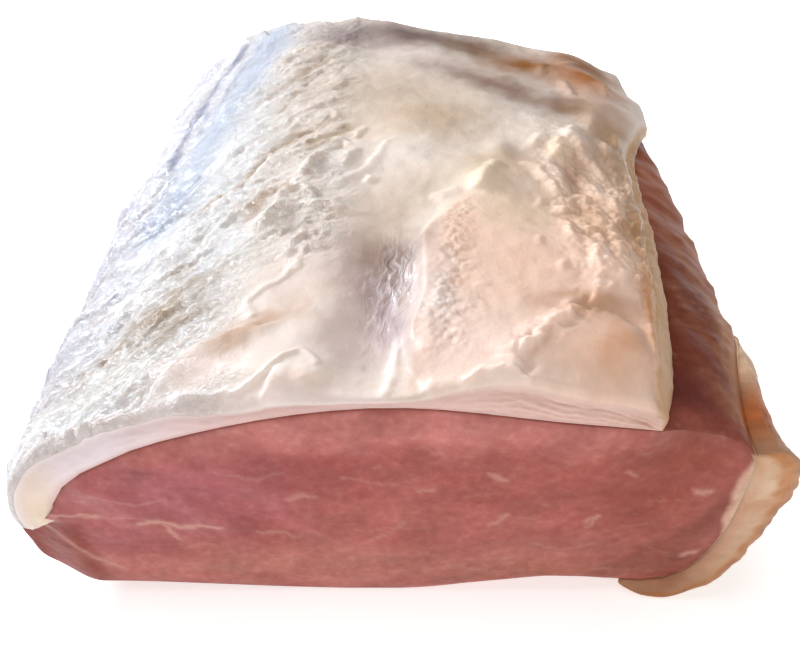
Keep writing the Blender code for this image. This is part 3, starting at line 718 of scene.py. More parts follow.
def capRelief(x, y, arc):
    # crests, paths and curls, then noise for each kind of surface
    look, zones = capLook, capZones(x, y)
    height = np.zeros(x.shape)
    wander = 0.8 * cloudNoise(x / 5, y / 5, 31, 2), 0.8 * cloudNoise(x / 5, y / 5, 37, 2)
    wx, wy = x + wander[0], y + wander[1]
    for *place, up in look["crests"]:
        height += up * ridge(wx, wy, *place)
    for points, left, right, up in look["paths"]:
        height += up * pathCrest(wx, wy, points, left, right)
    for cx, cy, radius, width, first, sweep, up in look["curls"]:
        angle = (np.degrees(np.arctan2(wy - cy, wx - cx)) - first) % 360
        window = ramp(angle, 0, 25) * (1 - ramp(angle, sweep - 25, sweep))
        height += up * window * np.exp(-((np.hypot(wx - cx, wy - cy) - radius) / width) ** 2)
    # crumpled membrane: long folds one way, short wrinkles across them
    first, last = (1 / math.tan(math.radians(turn)) for turn in look["foldTurn"])
    far = y - joint["front"]
    reach = first * far - (first - last) * far * far / (2 * (joint["rear"] - joint["front"]))
    along, across = 0.7 * arc + 0.9 * far, 0.6 * (reach - arc)
    bend = 1.8 * cloudNoise(arc / 17, y / 17, 3, 2) + 0.6 * cloudNoise(arc / 6, y / 6, 5, 2)
    folds = wrinkleNoise((across + bend) / 6.5, along / 26, 11, 2)
    fine = wrinkleNoise((across + bend) / 2.6, along / 6.5, 17, 2)
    sheets = flakeNoise(across / 7 + bend / 5, along / 19, 23)
    shake = 0.9 * cloudNoise(arc / 5, y / 5, 21, 2)
    crinkle = wrinkleNoise(arc / 4.4 + shake, y / 5.2 + shake, 19, 2)
    patchy = ramp(cloudNoise(across / 8, along / 16, 29, 2), -0.35, 0.45)
    smooth = 1 - 0.75 * zones["smooth"]
    height += zones["membrane"] * smooth * (0.34 * folds + patchy * (0.3 * fine + 0.8 * crinkle)
                                            + 0.8 * sheets - 0.55)
    height += zones["folds"] * (1.1 * flakeNoise(across / 9 + bend / 6, along / 16, 41)
                                + 0.3 * fine + 0.3 * folds + 0.45 * patchy * crinkle)
    # craggy lumps and curds
    tilt = arc + 0.35 * y
    warp = 0.35 * cloudNoise(x / 5, y / 5, 53, 2)
    slant, beside = turned(x, y, 0, 0, 63)
    streaks = wrinkleNoise(beside / 4.2 + warp, slant / 13, 69, 2) * ramp(x, 50, 56)
    crag = (1.7 * curdNoise(tilt / 6.6 + warp, y / 11 + warp, 57) ** 1.5 * (1 - 0.6 * ramp(x, 50, 56))
            + 0.3 * curdNoise(tilt / 2.8 - warp, y / 6.5 + warp, 61) + 0.5 * streaks)
    height += zones["crag"] * (crag - 0.95)
    height += zones["roll"] * (0.1 + 1.5 * curdNoise(x / 4.2 + 2 * warp, y / 4.6 - 2 * warp, 63) ** 1.4
                               + 0.35 * cloudNoise(x / 2, y / 2, 65, 3))
    height += zones["curd"] * (0.55 * curdNoise(arc / 1.5, y / 1.7, 67)
                               + 0.3 * cloudNoise(arc / 2.4, y / 2.4, 68, 3) - 0.25)
    height += zones["rim"] * (0.3 * curdNoise(tilt / 1.5, y / 2.6, 71) - 0.12)
    # glossy ribs in the dimple
    ribAlong, ribAcross = turned(x, y, -1.5, -61, 82)
    ribAcross = ribAcross + 0.9 * cloudNoise(ribAlong / 4, ribAcross / 3, 73, 2)
    height += zones["dimple"] * (0.8 * wrinkleNoise(ribAcross / 3.0, ribAlong / 12, 75, 2) - 0.6)
    calm = 1 - 0.7 * zones["dome"]
    height += calm * (0.28 * cloudNoise(arc / 10, y / 10, 79, 2)
                      + 0.1 * cloudNoise(arc / 3, y / 3.4, 83, 3))
    flow = np.stack([along, across + bend, arc], -1) / 10
    zones["ribs"] = np.stack([ribAlong / 10, ribAcross / 10, zones["dimple"]], -1)
    zones["sheets"] = sheets
    return height, zones, flow


def capColour(x, y, zones, height, fromLeft, fromRight):
    # tones laid over one another, then painted light paler on crests and painted shade deeper in
    # hollows
    base = evenTone(capLook["cream"], x)
    # the left membrane's bluish white is partly its pale film and partly painted cool reflection
    for zone, tone in (("left", "leftWhiteAndReflection"), ("lobe", "lobePink")):
        base = blended(base, capLook[tone], 0.9 * zones[zone])
    sheet = (0.4 * zones["membrane"] * ramp(cloudNoise(zones["sheets"] * 3, y / 30, 89, 2), 0.0, 0.4)
             * ramp(-y, 20, 50))
    base = blended(base, capLook["sheetBeige"], sheet)
    wx = x + 2.5 * cloudNoise(x / 8, y / 8, 91, 3)
    wy = y + 2.5 * cloudNoise(x / 8, y / 8, 97, 3)
    base = painted(base, wx, wy, capLook["patches"])
    for path, width, tone, strength in capLook["streaks"]:
        crest = pathCrest(0.6 * x + 0.4 * wx, 0.6 * y + 0.4 * wy, path, width, width)
        base = blended(base, tone, strength * crest)
    near = 0.8 * np.exp(-((y - joint["front"]) / 2.5) ** 2) * (1 - ramp(x, -12, 6))
    base = blended(base, capLook["frontWhite"], near)
    base = blended(base, capLook["brim"], 0.8 * np.exp(-(fromRight / 2.2) ** 2))
    far = 0.75 * np.exp(-(fromLeft / 22) ** 2) * (0.2 + 0.8 * ramp(y, -92, -60))
    base = blended(base, capLook["edgeLilac"], far)
    # painted light on crests and painted shade in hollows, both stronger among crags and curds
    crestLight = np.clip(0.45 + 0.4 * height, 0, 1)[..., None]
    rough = np.clip(zones["crag"] + zones["roll"] + 0.6 * zones["curd"], 0, 1)[..., None]
    creviceShade = np.array([0.26, 0.36, 0.44]) * (0.55 + 0.6 * rough - 0.35 * zones["left"][..., None])
    return base * (1 - (1 - crestLight) ** 1.5 * creviceShade) * (0.96 + (0.06 + 0.12 * rough) * crestLight)


def addWisp(skin):
    # a thread at the rear left: circles along a bent line, drawn to a point at both ends
    look = capLook["wisp"]
    t = np.linspace(0, 1, look["rows"])[:, None]
    x, y = look["from"][0] - look["reach"] * t ** 0.8, look["from"][1] + t
    z = look["from"][2] + 0.3 * t + look["rise"] * t ** 3
    dx, dz = np.gradient(x, axis=0), np.gradient(z, axis=0)
    size = np.hypot(dx, dz)
    around = np.linspace(0, 2 * np.pi, look["sides"] + 1)[None, :-1]
    radius = look["radius"] * np.sin(np.pi * (0.08 + 0.88 * t)) ** 0.5 * (1 - 0.6 * t)
    marks = {"tone": np.broadcast_to(linear(look["colour"]), (len(t), look["sides"], 3)), "wet": 0.4}
    ring = skin.add(x - dz / size * radius * np.cos(around), y + radius * np.sin(around),
                    z + dx / size * radius * np.cos(around), **marks)
    ring = np.concatenate([ring, ring[:, :1]], 1)
    skin.grid(ring)
    for row, flip in ((0, True), (-1, False)):
        tip = skin.add(x[row], y[row], z[row], tone=linear(look["colour"])[None], wet=0.4)
        skin.stitch(ring[row], tip, flip=flip)


def buildFatCap(material):
    # the lean's section curves from the ledge to the right edge, moved outwards by the thickness
    look = capLook
    rows = rowsAlong(look["firstStep"], look["lastStep"], look["rimRadius"], look["rimRows"])
    sections, marks = sectionsAt(rows)
    t = np.linspace(0, 1, look["columns"] + 1)
    start = marks[:, 1] + look["ledgeGap"]
    where = start[:, None] + (marks[:, 2] - start)[:, None] * t
    x, z, nx, nz = alongSections(sections, where)
    y = np.broadcast_to(rows[:, None], x.shape)
    arc = where - marks[:, :1]
    thick = capThickness(x, y)
    seen = x + nx * thick * ramp(-x, 5, 30)                  # where a spot of the outer skin lies
    height, zones, flow = capRelief(seen, y, arc)
    fromLeft, fromRight = where - where[:, :1], where[:, -1:] - where
    edgeFade = ramp(fromLeft, 0, 6) * ramp(fromRight, -3, 2)
    inset = rimInset(rows, look["rimRadius"])[:, None]
    inset = inset * np.minimum(1, look["rimShare"] * thick / look["rimRadius"])
    thick = thick - inset + height * edgeFade * (1 - 0.5 * inset / look["rimRadius"])
    thick = thick - look["edgeRound"] * (1 - ramp(fromLeft, 0, look["leftRound"]))
    thick = thick - look["edgeRound"] * (1 - ramp(fromRight, 0, look["rightRound"]))
    thick = np.maximum(thick, look["leastEdge"])
    outX, outZ = x + nx * thick, z + nz * thick
    outZ = outZ - look["endDrop"] * np.clip(1 - fromLeft / look["endLength"], 0, 1) ** 2
    leanIn = smoothTable(rows, look["edgeLeanY"], look["edgeLean"])[:, None]
    outX = outX - leanIn * np.clip(1 - fromRight / look["edgeLeanLength"], 0, 1) ** 2
    colour = capColour(seen, y, zones, height, fromLeft, fromRight)
    # wetter on the membrane and in the dimple, drier on calm sheets, by the lip and rear right
    wet = np.clip(0.35 + 0.75 * zones["left"] + 0.6 * zones["dimple"] - 0.25 * zones["lobe"]
                  + 0.4 * zones["curd"] + 0.25 * zones["folds"] - 0.6 * zones["smooth"]
                  - 0.6 * ramp(x + 0.5 * y, 20, 50) * ramp(y, 10, 50)
                  - 0.6 * oval(x, y, 3, -84, 8, 12, 0) - 0.7 * oval(x, y, 0, -51, 7, 5, 80), 0, 1)

    skin = Skin()
    grain = np.clip(zones["crag"] + zones["curd"] + 0.8 * zones["rim"], 0, 1)
    wrinkle = np.clip(zones["membrane"] + 0.75 * zones["folds"], 0, 1)
    outer = skin.add(outX, y, outZ, tone=colour, wet=wet, flow=flow, grain=grain,
                     ribs=zones["ribs"], wrinkle=wrinkle)
    # inner face, close on the lean
    tIn = np.linspace(0, 1, look["innerColumns"] + 1)
    whereIn = start[:, None] + (marks[:, 2] - start)[:, None] * tIn
    ix, iz, inx, inz = alongSections(sections, whereIn)
    innerX, innerZ = ix + inx * look["gap"], iz + inz * look["gap"]
    inner = skin.add(innerX, np.broadcast_to(rows[:, None], innerX.shape), innerZ,
                     tone=evenTone(look["cutWhite"], innerX), wet=0.3)

    # the two long edges, bulging a little between the outer and the inner face
    share = np.linspace(0, 1, look["wallColumns"] + 1)[1:-1] ** 1.25
    walls = []
    for end in (-1, 0):
        ax, az, bx, bz = (part[:, end, None] for part in (outX, outZ, innerX, innerZ))
        bulge = 0.9 * np.sin(np.pi * share) * ramp(np.hypot(ax - bx, az - bz), 0, 5)
        rough = 0.35 * cloudNoise(rows[:, None] / 3.2, share * 3, 101, 3) * np.sin(np.pi * share)
        push = (bulge + rough) * (1 - 0.7 * inset[:, end, None] / look["rimRadius"])
        wx, wz = wallBetween(ax, az, bx, bz, share, push)
        edgeColour = colour[:, end, None, :] * np.ones((1, len(share), 1))
        blend = (0.3 + share * 0.6)[None, :, None]
        rimTone = linear(look["leftEdge" if end == 0 else "rightEdge"])
        walls.append(skin.add(wx, np.broadcast_to(rows[:, None], wx.shape), wz,
                              tone=edgeColour * (1 - blend) + rimTone * blend,
                              wet=0.5 if end == 0 else 0))
    right, left = walls
    ring = np.concatenate([outer, right, inner[:, ::-1], left[:, ::-1], outer[:, :1]], 1)
    skin.grid(ring)

    # the two cuts: smooth bands with faint layers
    for row, out in ((0, -1.0), (-1, 1.0)):
        share2 = share[:, None]
        across = np.linspace(0, 1, look["columns"] + 1)
        lowX, lowZ = np.interp(across, tIn, innerX[row]), np.interp(across, tIn, innerZ[row])
        bx = outX[row] * (1 - share2) + lowX * share2
        bz = outZ[row] * (1 - share2) + lowZ * share2
        for column, wall in ((0, left), (-1, right)):
            bx[:, column] = np.concatenate(skin.points)[wall[row], 0]
            bz[:, column] = np.concatenate(skin.points)[wall[row], 2]
        tall = np.hypot(outX[row] - lowX, outZ[row] - lowZ)
        depth = share2 * tall
        wave = depth + 0.5 * cloudNoise(bx / 7, depth / 4, 107, 3)
        layers = (0.2 * np.sin(wave * 3.6) * ramp(bx, 10, 26) * ramp(depth, 1.5, 3)
                  + 0.16 * cloudNoise(bx / 6, depth / 2, 109, 3))
        crease = smoothTable(bx, look["creaseAt"], look["creaseDepth"])
        crease = np.exp(-((depth - crease - 0.3 * cloudNoise(bx / 5, bx / 9, 113, 2)) / 0.28) ** 2)
        crease = crease * ramp(bx, 14, 19) * (1 - ramp(bx, 46, 51))
        layers = layers - (0.5 * crease if row == 0 else 0)
        bulge = 0.45 * np.sin(np.pi * share2) * ramp(tall, 1, 5)
        by = rows[row] + out * (bulge + layers * np.sin(np.pi * share2))
        by[:, 0] = by[:, -1] = rows[row]
        tint = painted(evenTone(look["cutWhite"], bx), bx, depth, look["cutPatches"])
        tint = blended(tint, look["cutBlush"], 0.5 * ramp(share2, 0.78, 1.0))
        edge = (1 - ramp(share2, 0, 0.22))[..., None] * 0.7
        tint = tint * (1 - edge) + colour[row][None] * edge
        line = ramp(np.sin(wave * 3.6 + 1.2), 0.55, 1.0) * ramp(bx, 0, 20) * ramp(depth, 0.8, 2)
        # darker along the fat's faint layer lines, and painted shade in the crease of the front cut
        layerLinesAndCreaseShade = (0.25 * line + (0.4 * crease if row == 0 else 0))[..., None]
        tint = tint * (1 - layerLinesAndCreaseShade * np.array([0.35, 0.6, 0.7]))
        band = skin.add(bx[:, 1:-1], by[:, 1:-1], bz[:, 1:-1], tone=tint[:, 1:-1], wet=0.45)
        skin.closeCut(row, outer, left, band, right, inner)
    addWisp(skin)
    return skin.finish("fatCap", material)


def fatMaterial(name, sheen):
    # wet fat: the vertex tones with fine grain, and bump for what is under half a millimetre
    def build(tree):
        tone, flow = attribute(tree, "tone", 0), attribute(tree, "flow", 1)
        wet, wrinkle, grain = (attribute(tree, name) for name in ("wet", "wrinkle", "grain"))
        place = objectPlace(tree)
        cloud = noiseAt(tree, place, 160.0, 4.0)
        fine = noiseAt(tree, place, 1100.0, 3.0)
        # membrane: long creases along the flow, and short ones between them
        creases = foldedNoise(tree, flow, (1.8, 4.5, 0), 0.8)
        crumple = foldedNoise(tree, place, (620.0, 620.0, 620.0), 1.5)
        place3 = attribute(tree, "ribs", 1)
        ribs = foldedNoise(tree, place3, (1.3, 8.0, 0), 0.4, 0.6)
        ribbed = shaderNode(tree, "ShaderNodeSeparateXYZ", {}, {"Vector": place3}, output=2)
        curds = shaderNode(tree, "ShaderNodeTexVoronoi", {"feature": "SMOOTH_F1"},
                           {"Vector": place, "Scale": 620.0, "Smoothness": 0.4})
        # darker clouds, paler specks, pale bluish crease crests that are partly painted highlight,
        # browner gaps between the curds as painted shade, lilac glints on ribs
        colour = tinted(tone, (cloud.between(0.35, 0.75) * 0.28, (0.8, 0.72, 0.66, 1)),
                        (fine.between(0.5, 0.8) * 0.5, (1.12, 1.12, 1.12, 1)),
                        (creases.between(0.86, 1.0) * wrinkle * 0.6, (1.1, 1.12, 1.16, 1)),
                        (curds.between(0.3, 0.75) * grain * 0.35, (0.8, 0.66, 0.56, 1)))
        colour = mixColour(ribbed * ribs ** 8 * 0.5, colour, (0.8, 0.77, 0.84, 1))
        rough = 0.48 - 0.3 * wet + 0.2 * (cloud - 0.5)
        height = (fine * 0.35 + cloud * 0.5 + wrinkle * (creases ** 3 * 0.8 + crumple ** 2 * 2.2)
                  + ribbed * ribs ** 3 * 1.0 - curds * grain * 1.2)
        return {"Base Color": colour, "Roughness": rough, "Coat Weight": 0.03 + wet * 0.1,
                "Normal": bumpFrom(tree, height, 0.0004, 0.8)}
    return wetMaterial(name, {"Specular IOR Level": sheen, "IOR": 1.45, "Coat Roughness": 0.15,
                              "Subsurface Weight": 0.2, "Subsurface Radius": (1.0, 0.55, 0.38),
                              "Subsurface Scale": 0.0025}, build)


# The lean, in millimetres and degrees.
leanLook = {
    # Points round the lean: at the front cut, along the body and at the rear cut.
    "topColumns": 280, "sideColumns": 100,
    "backTop": 60, "backSide": 110, "backSole": 60, "backFlank": 60,
    "rearTop": 140, "rearSide": 64,
    "firstStep": 0.8, "lastStep": 1.8, "rim": 0.4, "rimRows": 3,
    # The soft corner at the cut's upper right: how far back and down, over what length, its tone.
    "cornerBack": 2.8, "cornerDown": 2.2, "cornerLength": 10.0, "cornerTone": (146, 84, 74),
    # How far the cut's lower left corner stands out, and the right side is drawn in behind the cut.
    "heel": 3.2, "waist": 1.4,
    "red": (170, 92, 84), "cutLift": np.array([1.02, 1.12, 1.13]),
    # On the cut face: x, z, half length, half width, turn, colour, strength.
    "patches": [
        (-45, 44, 28, 12, 20, (160, 80, 88), 0.8), (-66, 38, 16, 3, -50, (186, 116, 118), 0.5),
        (-48, 36, 18, 3, -52, (176, 108, 114), 0.45), (-30, 40, 16, 2.6, -56, (182, 112, 112), 0.4),
        (-56, 40, 15, 2.4, -48, (146, 70, 76), 0.5), (-38, 34, 14, 2.6, -54, (144, 70, 74), 0.45),
        (0, 62, 60, 6, 0, (200, 124, 118), 0.8),
        (-14, 50, 24, 8, 0, (160, 76, 74), 0.6), (20, 40, 26, 14, 0, (164, 84, 76), 0.6),
        (55, 38, 18, 16, 0, (148, 68, 54), 0.8), (58, 54, 14, 7, 0, (142, 70, 54), 0.7),
        (-5, 13, 62, 8, 0, (186, 114, 102), 0.85), (-62, 24, 20, 10, 10, (158, 80, 82), 0.7),
        (-30, 32, 12, 7, 30, (156, 76, 80), 0.5), (-2, 34, 9, 9, 0, (178, 98, 92), 0.5),
        (14, 22, 12, 6, 20, (158, 82, 78), 0.5), (40, 24, 14, 8, 0, (162, 84, 76), 0.5),
        (-79, 27, 9, 8, 0, (160, 78, 72), 0.7), (62, 16, 13, 12, 0, (138, 66, 50), 0.8),
        (36, 9, 22, 5, 0, (152, 86, 66), 0.6), (68, 32, 18, 3.4, 66, (116, 52, 40), 0.65),
        (60, 22, 14, 3, 50, (128, 62, 50), 0.5),
    ],
    # How far the side fat creeps onto the cut face at each height.
    "creepAt": [8, 14, 24, 32, 40, 48, 54], "creepIn": [-2, -1.5, -0.3, 1.0, 1.9, 1.2, -1],
    # Veins of pale fat on the cut face: path of (x, z), half width, strength.
    "veins": [
        ([(-58, 31), (-53, 32), (-49, 29.5), (-45, 30.5), (-40, 29)], 0.75, 0.75),
        ([(-53, 32), (-51, 27), (-50, 24)], 0.55, 0.6),
        ([(-78, 34), (-72, 33.5), (-66, 33.5)], 0.6, 0.6),
        ([(-24, 40), (-20.5, 42), (-18, 41)], 0.6, 0.45),
        ([(-32, 27), (-27, 27), (-24, 25)], 0.5, 0.4),
        ([(-7, 24), (-2, 26.5), (1, 31)], 0.5, 0.4), ([(4, 43), (7, 44)], 0.6, 0.5),
        ([(18, 49), (22, 47)], 0.6, 0.5), ([(20, 30), (23, 34)], 0.6, 0.5),
        ([(41, 32), (43, 34), (42, 30)], 0.6, 0.5), ([(63, 42), (66, 42)], 0.8, 0.7),
        ([(66, 17), (69, 18)], 0.8, 0.7), ([(47, 49), (49, 48)], 0.5, 0.4),
        ([(-66, 41), (-58, 38), (-50, 40)], 0.4, 0.25), ([(-38, 50), (-30, 47), (-24, 50)], 0.4, 0.25),
        ([(-12, 48), (-4, 45), (4, 47)], 0.4, 0.22), ([(30, 22), (38, 20), (44, 23)], 0.4, 0.25),
    ],
    # Pale films over the right shoulder: path of (x, y), half width, strength.
    "membranes": [
        ([(83, -40), (81, -50), (79.5, -60), (77.5, -72), (75.5, -82), (74, -92)], 3.4, 0.85),
        ([(62, -52), (64, -66), (68, -76), (74, -86)], 1.6, 0.35),
        ([(66, -44), (70, -58), (75, -72)], 1.4, 0.3), ([(60, -66), (66, -80), (72, -88)], 1.2, 0.3),
        ([(70, -10), (76, -30), (80, -48)], 1.8, 0.3), ([(72, 20), (78, 0), (82, -20)], 2.0, 0.3),
    ],
    # Tones of the right side, partly the lean's own brown and partly painted shade where less light
    # falls on that side; the narrow dark band at z 54 is painted shadow beside the cap's edge: y, z,
    # half length, half width, turn, colour, strength.
    "sidePatches": [
        (-20, 46, 110, 34, 0, (132, 66, 42), 0.75), (-50, 44, 60, 22, -10, (110, 44, 20), 0.95),
        (-30, 54, 34, 7, -8, (92, 40, 24), 0.7), (10, 40, 44, 18, 0, (158, 82, 42), 0.85),
        (-80, 47, 11, 8, 0, (104, 50, 44), 0.8), (60, 45, 34, 16, 0, (146, 82, 44), 0.85),
        (-24, 48, 18, 9, 0, (176, 108, 76), 0.45),
    ],
    "filmTone": (176, 122, 88), "flankTone": (150, 78, 72), "fibreSheenTone": (176, 126, 96),
    "dentShadeTone": (104, 50, 48), "smearTone": (186, 132, 92), "underTone": (214, 178, 154),
    "creepTone": (216, 176, 152), "brownCorner": (142, 66, 56),
}


def cornerAt(x, z):
    # weight of the soft corner at the cut's upper right
    return ramp(x, 48, 59) * (1 - ramp(x, 65, 73)) * ramp(z + 0.25 * (x - 50), 50, 62)


def facetBack(x, z):
    # how far the cut falls back at its lower left and upper right corners
    return (joint["facetDepth"] * ramp(-x, 73, 86) * ramp(33.0 - z, 0.0, 4.0)
            + leanLook["cornerBack"] * cornerAt(x, z))


def leanRing(sections, marks, counts):
    # points round the whole lean in four runs, each of its own count
    stops = [marks[:, 1] + 0.6, marks[:, 3] - 9.0, marks[:, 4], marks[:, 5], marks[:, 7] + 0.6]
    lines = [a[:, None] + (b - a)[:, None] * np.linspace(0, 1, n, endpoint=False)
             for a, b, n in zip(stops, stops[1:], counts)]
    return alongSections(sections, np.concatenate(lines, 1))


def runsOf(ring, counts):
    # the ring's indices as its four runs, each with the next run's first point at its end
    closed = np.r_[ring, ring[:1]]
    starts = np.r_[0, np.cumsum(counts)]
    return [closed[a:b + 1] for a, b in zip(starts, starts[1:])]


def faceGrid(runs, points):
    # fills a ring of four runs: the sum of both pairs of opposite sides, each weighed between
    # them, less the four corners weighed the same way
    top, right, sole, left = (np.array([points[i] for i in run]) for run in runs)
    n, m = len(top), len(right)
    u, v = np.linspace(0, 1, n)[None, :, None], np.linspace(0, 1, m)[:, None, None]
    low, side = sole[::-1][None], left[::-1][:, None]
    return ((1 - v) * top[None] + v * low + (1 - u) * side + u * right[:, None]
            - (1 - u) * (1 - v) * top[0] - u * (1 - v) * top[-1]
            - (1 - u) * v * sole[-1] - u * v * sole[0])


def buildLean(material):
    # rings of the section curves pushed out by relief, closed by two filled cut faces
    look = leanLook
    fine = [look["topColumns"], look["sideColumns"]] * 2
    back = [look["backTop"], look["backSide"], look["backSole"], look["backFlank"]]
    rearCounts = [look["rearTop"], look["rearSide"]] * 2
    rows = rowsAlong(look["firstStep"], look["lastStep"], look["rim"], look["rimRows"])
    n = look["rimRows"]
    frontRows, backRows, rearRows = rows[:n + 1], rows[n + 1:-n - 1], rows[-n - 1:]
    skin = Skin()

    def layRows(some, counts):
        # one run of rows round the lean; the long middle run is evened out with the ends' rows
        long = len(some) > n + 1
        sections, marks = sectionsAt(rows if long else some)
        if long:
            sections, marks = sections[n + 1:-n - 1], marks[n + 1:-n - 1]
        x, z, nx, nz = leanRing(sections, marks, counts)
        inset = rimInset(some, look["rim"])[:, None]
        y = np.broadcast_to(some[:, None], x.shape)
        right = ramp(x, 58, 70) * ramp(z, 8, 16) * ramp(some, -93, -88)[:, None]
        along, across = turned(y, z, 0, 0, -58)
        fibre = wrinkleNoise(across / 3.2, along / 16, 131, 2)
        soft = cloudNoise(y / 14, z / 9, 137, 3)
        stripTopX, stripTopZ, stripLowX = (smoothTable(some, joint["sideY"], joint[key])[:, None]
                                           for key in ("sideTopX", "sideTopZ", "sideLowX"))
        beside = np.hypot(x - stripTopX, z - stripTopZ)      # distance from the strip's top edge
        clear = ramp(beside, 0.5, 6) * (z > stripTopZ - 1)
        dent = 1.4 * oval(x, y, 61, -84, 8, 7, 0)
        push = clear * right * (0.08 * fibre + 0.9 * soft - 0.6 - dent) - inset
        ease = np.clip(1 - (some - joint["front"]) / look["cornerLength"], 0, 1)[:, None] ** 2
        push = push - look["cornerDown"] * cornerAt(x, z) * ease
        push = push + look["heel"] * oval(x, z, -77, 7, 13, 9, 0) * (1 - ramp(some, -93, -60))[:, None]
        push = push - look["waist"] * oval(y, z, -42, 36, 12, 14, 0) * ramp(x, 70, 80)
        px, pz = x + nx * push, z + nz * push
        depth = ramp(some, -91, -84)[:, None]
        base = painted(evenTone(look["red"], x), y, z, look["sidePatches"])
        base = blended(base, look["flankTone"], 0.8 * ramp(-x, 10, 45))
        # painted sheen: paler streaks along the fibres of the right side
        base = blended(base, look["fibreSheenTone"], 0.2 * right * ramp(fibre, 0.5, 1.3))
        # painted shade: dark purple-brown in the dent at the front of the right shoulder
        base = blended(base, look["dentShadeTone"], 0.75 * oval(x, y, 60, -83, 10, 6, -20))
        streak = 0.75 + 0.5 * cloudNoise(beside / 1.3, y / 18, 241, 2)
        smear = 0.75 * right * np.exp(-(beside / 5) ** 2) * ramp(-y, 10, 40) * streak
        base = blended(base, look["smearTone"], smear)
        for path, width, strength in look["membranes"]:
            film = pathCrest(x + 0.8 * soft, y + 1.5 * soft, path, width, width)
            base = blended(base, look["filmTone"], strength * right * film)
        base = base * (1 - 0.25 * depth * (1 - right))[..., None]
        corner = np.exp(-((some + 93) / 7) ** 2)[:, None] * ramp(x, 48, 57) * ramp(z, 40, 50)
        base = blended(base, look["cornerTone"], 0.85 * corner)
        under = (some < -91)[:, None] * (x > stripLowX) * (z < stripTopZ) * ramp(x, 30, 50)
        base = blended(base, look["underTone"], 0.9 * under)
        shift = facetBack(px, pz) * (1 - ramp(some, -93, -84))[:, None]
        return skin.add(px, y + shift, pz, tone=base, wet=0.15 * (1 - right))

    front, middle = layRows(frontRows, fine), layRows(backRows, back)
    rear = layRows(rearRows, rearCounts)
    for rings, counts in ((front, fine), (middle, back), (rear, rearCounts)):
        closed = np.concatenate([rings, rings[:, :1]], 1)
        skin.grid(closed)
    for one, countsOne, two, countsTwo in ((front[-1], fine, middle[0], back),
                                           (middle[-1], back, rear[0], rearCounts)):
        for a, b in zip(runsOf(one, countsOne), runsOf(two, countsTwo)):
            skin.stitch(a, b)

    # the two cut faces
    for ring, counts, sign in ((front[0], fine, 1.0), (rear[-1], rearCounts, -1.0)):
        points = np.concatenate(skin.points)
        runs = runsOf(ring, counts)
        patch = faceGrid(runs, points)[1:-1, 1:-1]
        x, z = patch[..., 0], patch[..., 2]
        u = np.linspace(-1, 1, counts[0] + 1)[None, 1:-1]
        v = np.linspace(-1, 1, counts[1] + 1)[1:-1, None]
        flat = ramp(x, 38, 56) * ramp(z, 34, 50) * (sign > 0)
        dome = (1 - u ** 12) * (1 - v ** 6) * (1 - flat)
        level = joint["front"] + facetBack(x, z) if sign > 0 else patch[..., 1]
        bundles = curdNoise(x / 9 + 0.5 * cloudNoise(x / 8, z / 8, 149, 2), z / 7, 151)
        soft = (0.35 * cloudNoise(x / 16, z / 12, 157, 3) + 0.12 * bundles
                + 0.05 * cloudNoise(x / 2.5, z / 2.5, 163, 2))
        y = level - sign * dome * (0.75 + soft)
        wx, wz = x + 3 * cloudNoise(x / 12, z / 12, 167, 3), z + 3 * cloudNoise(x / 12, z / 12, 173, 3)
        base = painted(evenTone(look["red"], x), wx, wz, look["patches"])
        blotch = cloudNoise(x / 11, z / 9, 179, 4)[..., None]
        base = base * (1 + 0.16 * blotch) * (0.95 + 0.1 * bundles[..., None]) * look["cutLift"]
        vein = np.zeros(x.shape)
        vx, vz = x + 0.7 * cloudNoise(x / 3, z / 3, 181, 2), z + 0.7 * cloudNoise(x / 3, z / 3, 191, 2)
        if sign > 0:
            for path, width, strength in look["veins"]:
                vein = np.maximum(vein, strength * pathCrest(vx, vz, path, width, width))
        web = (ramp(wrinkleNoise(x / 15 + 0.4 * blotch[..., 0], z / 11, 193, 2), 1.02, 1.4)
               * ramp(cloudNoise(x / 20, z / 15, 197, 2), -0.2, 0.5))
        vein = np.maximum(vein, 0.22 * web)
        creep = smoothTable(z, look["creepAt"], look["creepIn"]) * sign
        ragged = creep + 0.7 * cloudNoise(x / 7, z / 7, 195, 3)
        fatty = 0.9 * ramp(x + ragged - patch[:, -1:, 0], -0.9, 0.9)
        base = blended(base, look["creepTone"], fatty)
        edge = np.minimum(ramp(1 - abs(u), 0, 0.03), ramp(1 - abs(v), 0, 0.06)) * (1 - fatty) + fatty
        if sign > 0:
            corner = ramp(-x, 68, 74) * ramp(32 - z, 0, 4)
            damp = 0.3 * (1 - corner)
            streak = wrinkleNoise(x / 7, (z - 0.5 * x) / 1.8, 199, 2)[..., None]
            brown = linear(look["brownCorner"]) * (0.85 + 0.2 * streak)
            base = base * (1 - corner[..., None]) + brown * corner[..., None]
            line = pathCrest(x, z, [(-84, 29), (-77, 24), (-72, 17), (-66, 11)], 0.9, 0.9)
            vein = np.maximum(vein * (1 - corner), 0.35 * line)
        above = ramp(x, 48, 57) * ramp(-v, 0.55, 1.0) * (1 - fatty) * (sign > 0)
        base = blended(base, look["cornerTone"], 0.8 * above)
        edge = np.maximum(edge, above)
        base = base * (0.82 + 0.18 * edge[..., None])
        mesh = skin.add(x, y, z, tone=base, vein=vein, wet=damp if sign > 0 else 0.3)
        grid = np.empty((counts[1] + 1, counts[0] + 1), np.int64)
        grid[1:-1, 1:-1] = mesh
        top, right, sole, left = runs
        grid[0], grid[:, -1], grid[-1], grid[:, 0] = top, right, sole[::-1], left[::-1]
        skin.grid(grid, flip=(sign > 0))
    return skin.finish("leanMuscle", material)


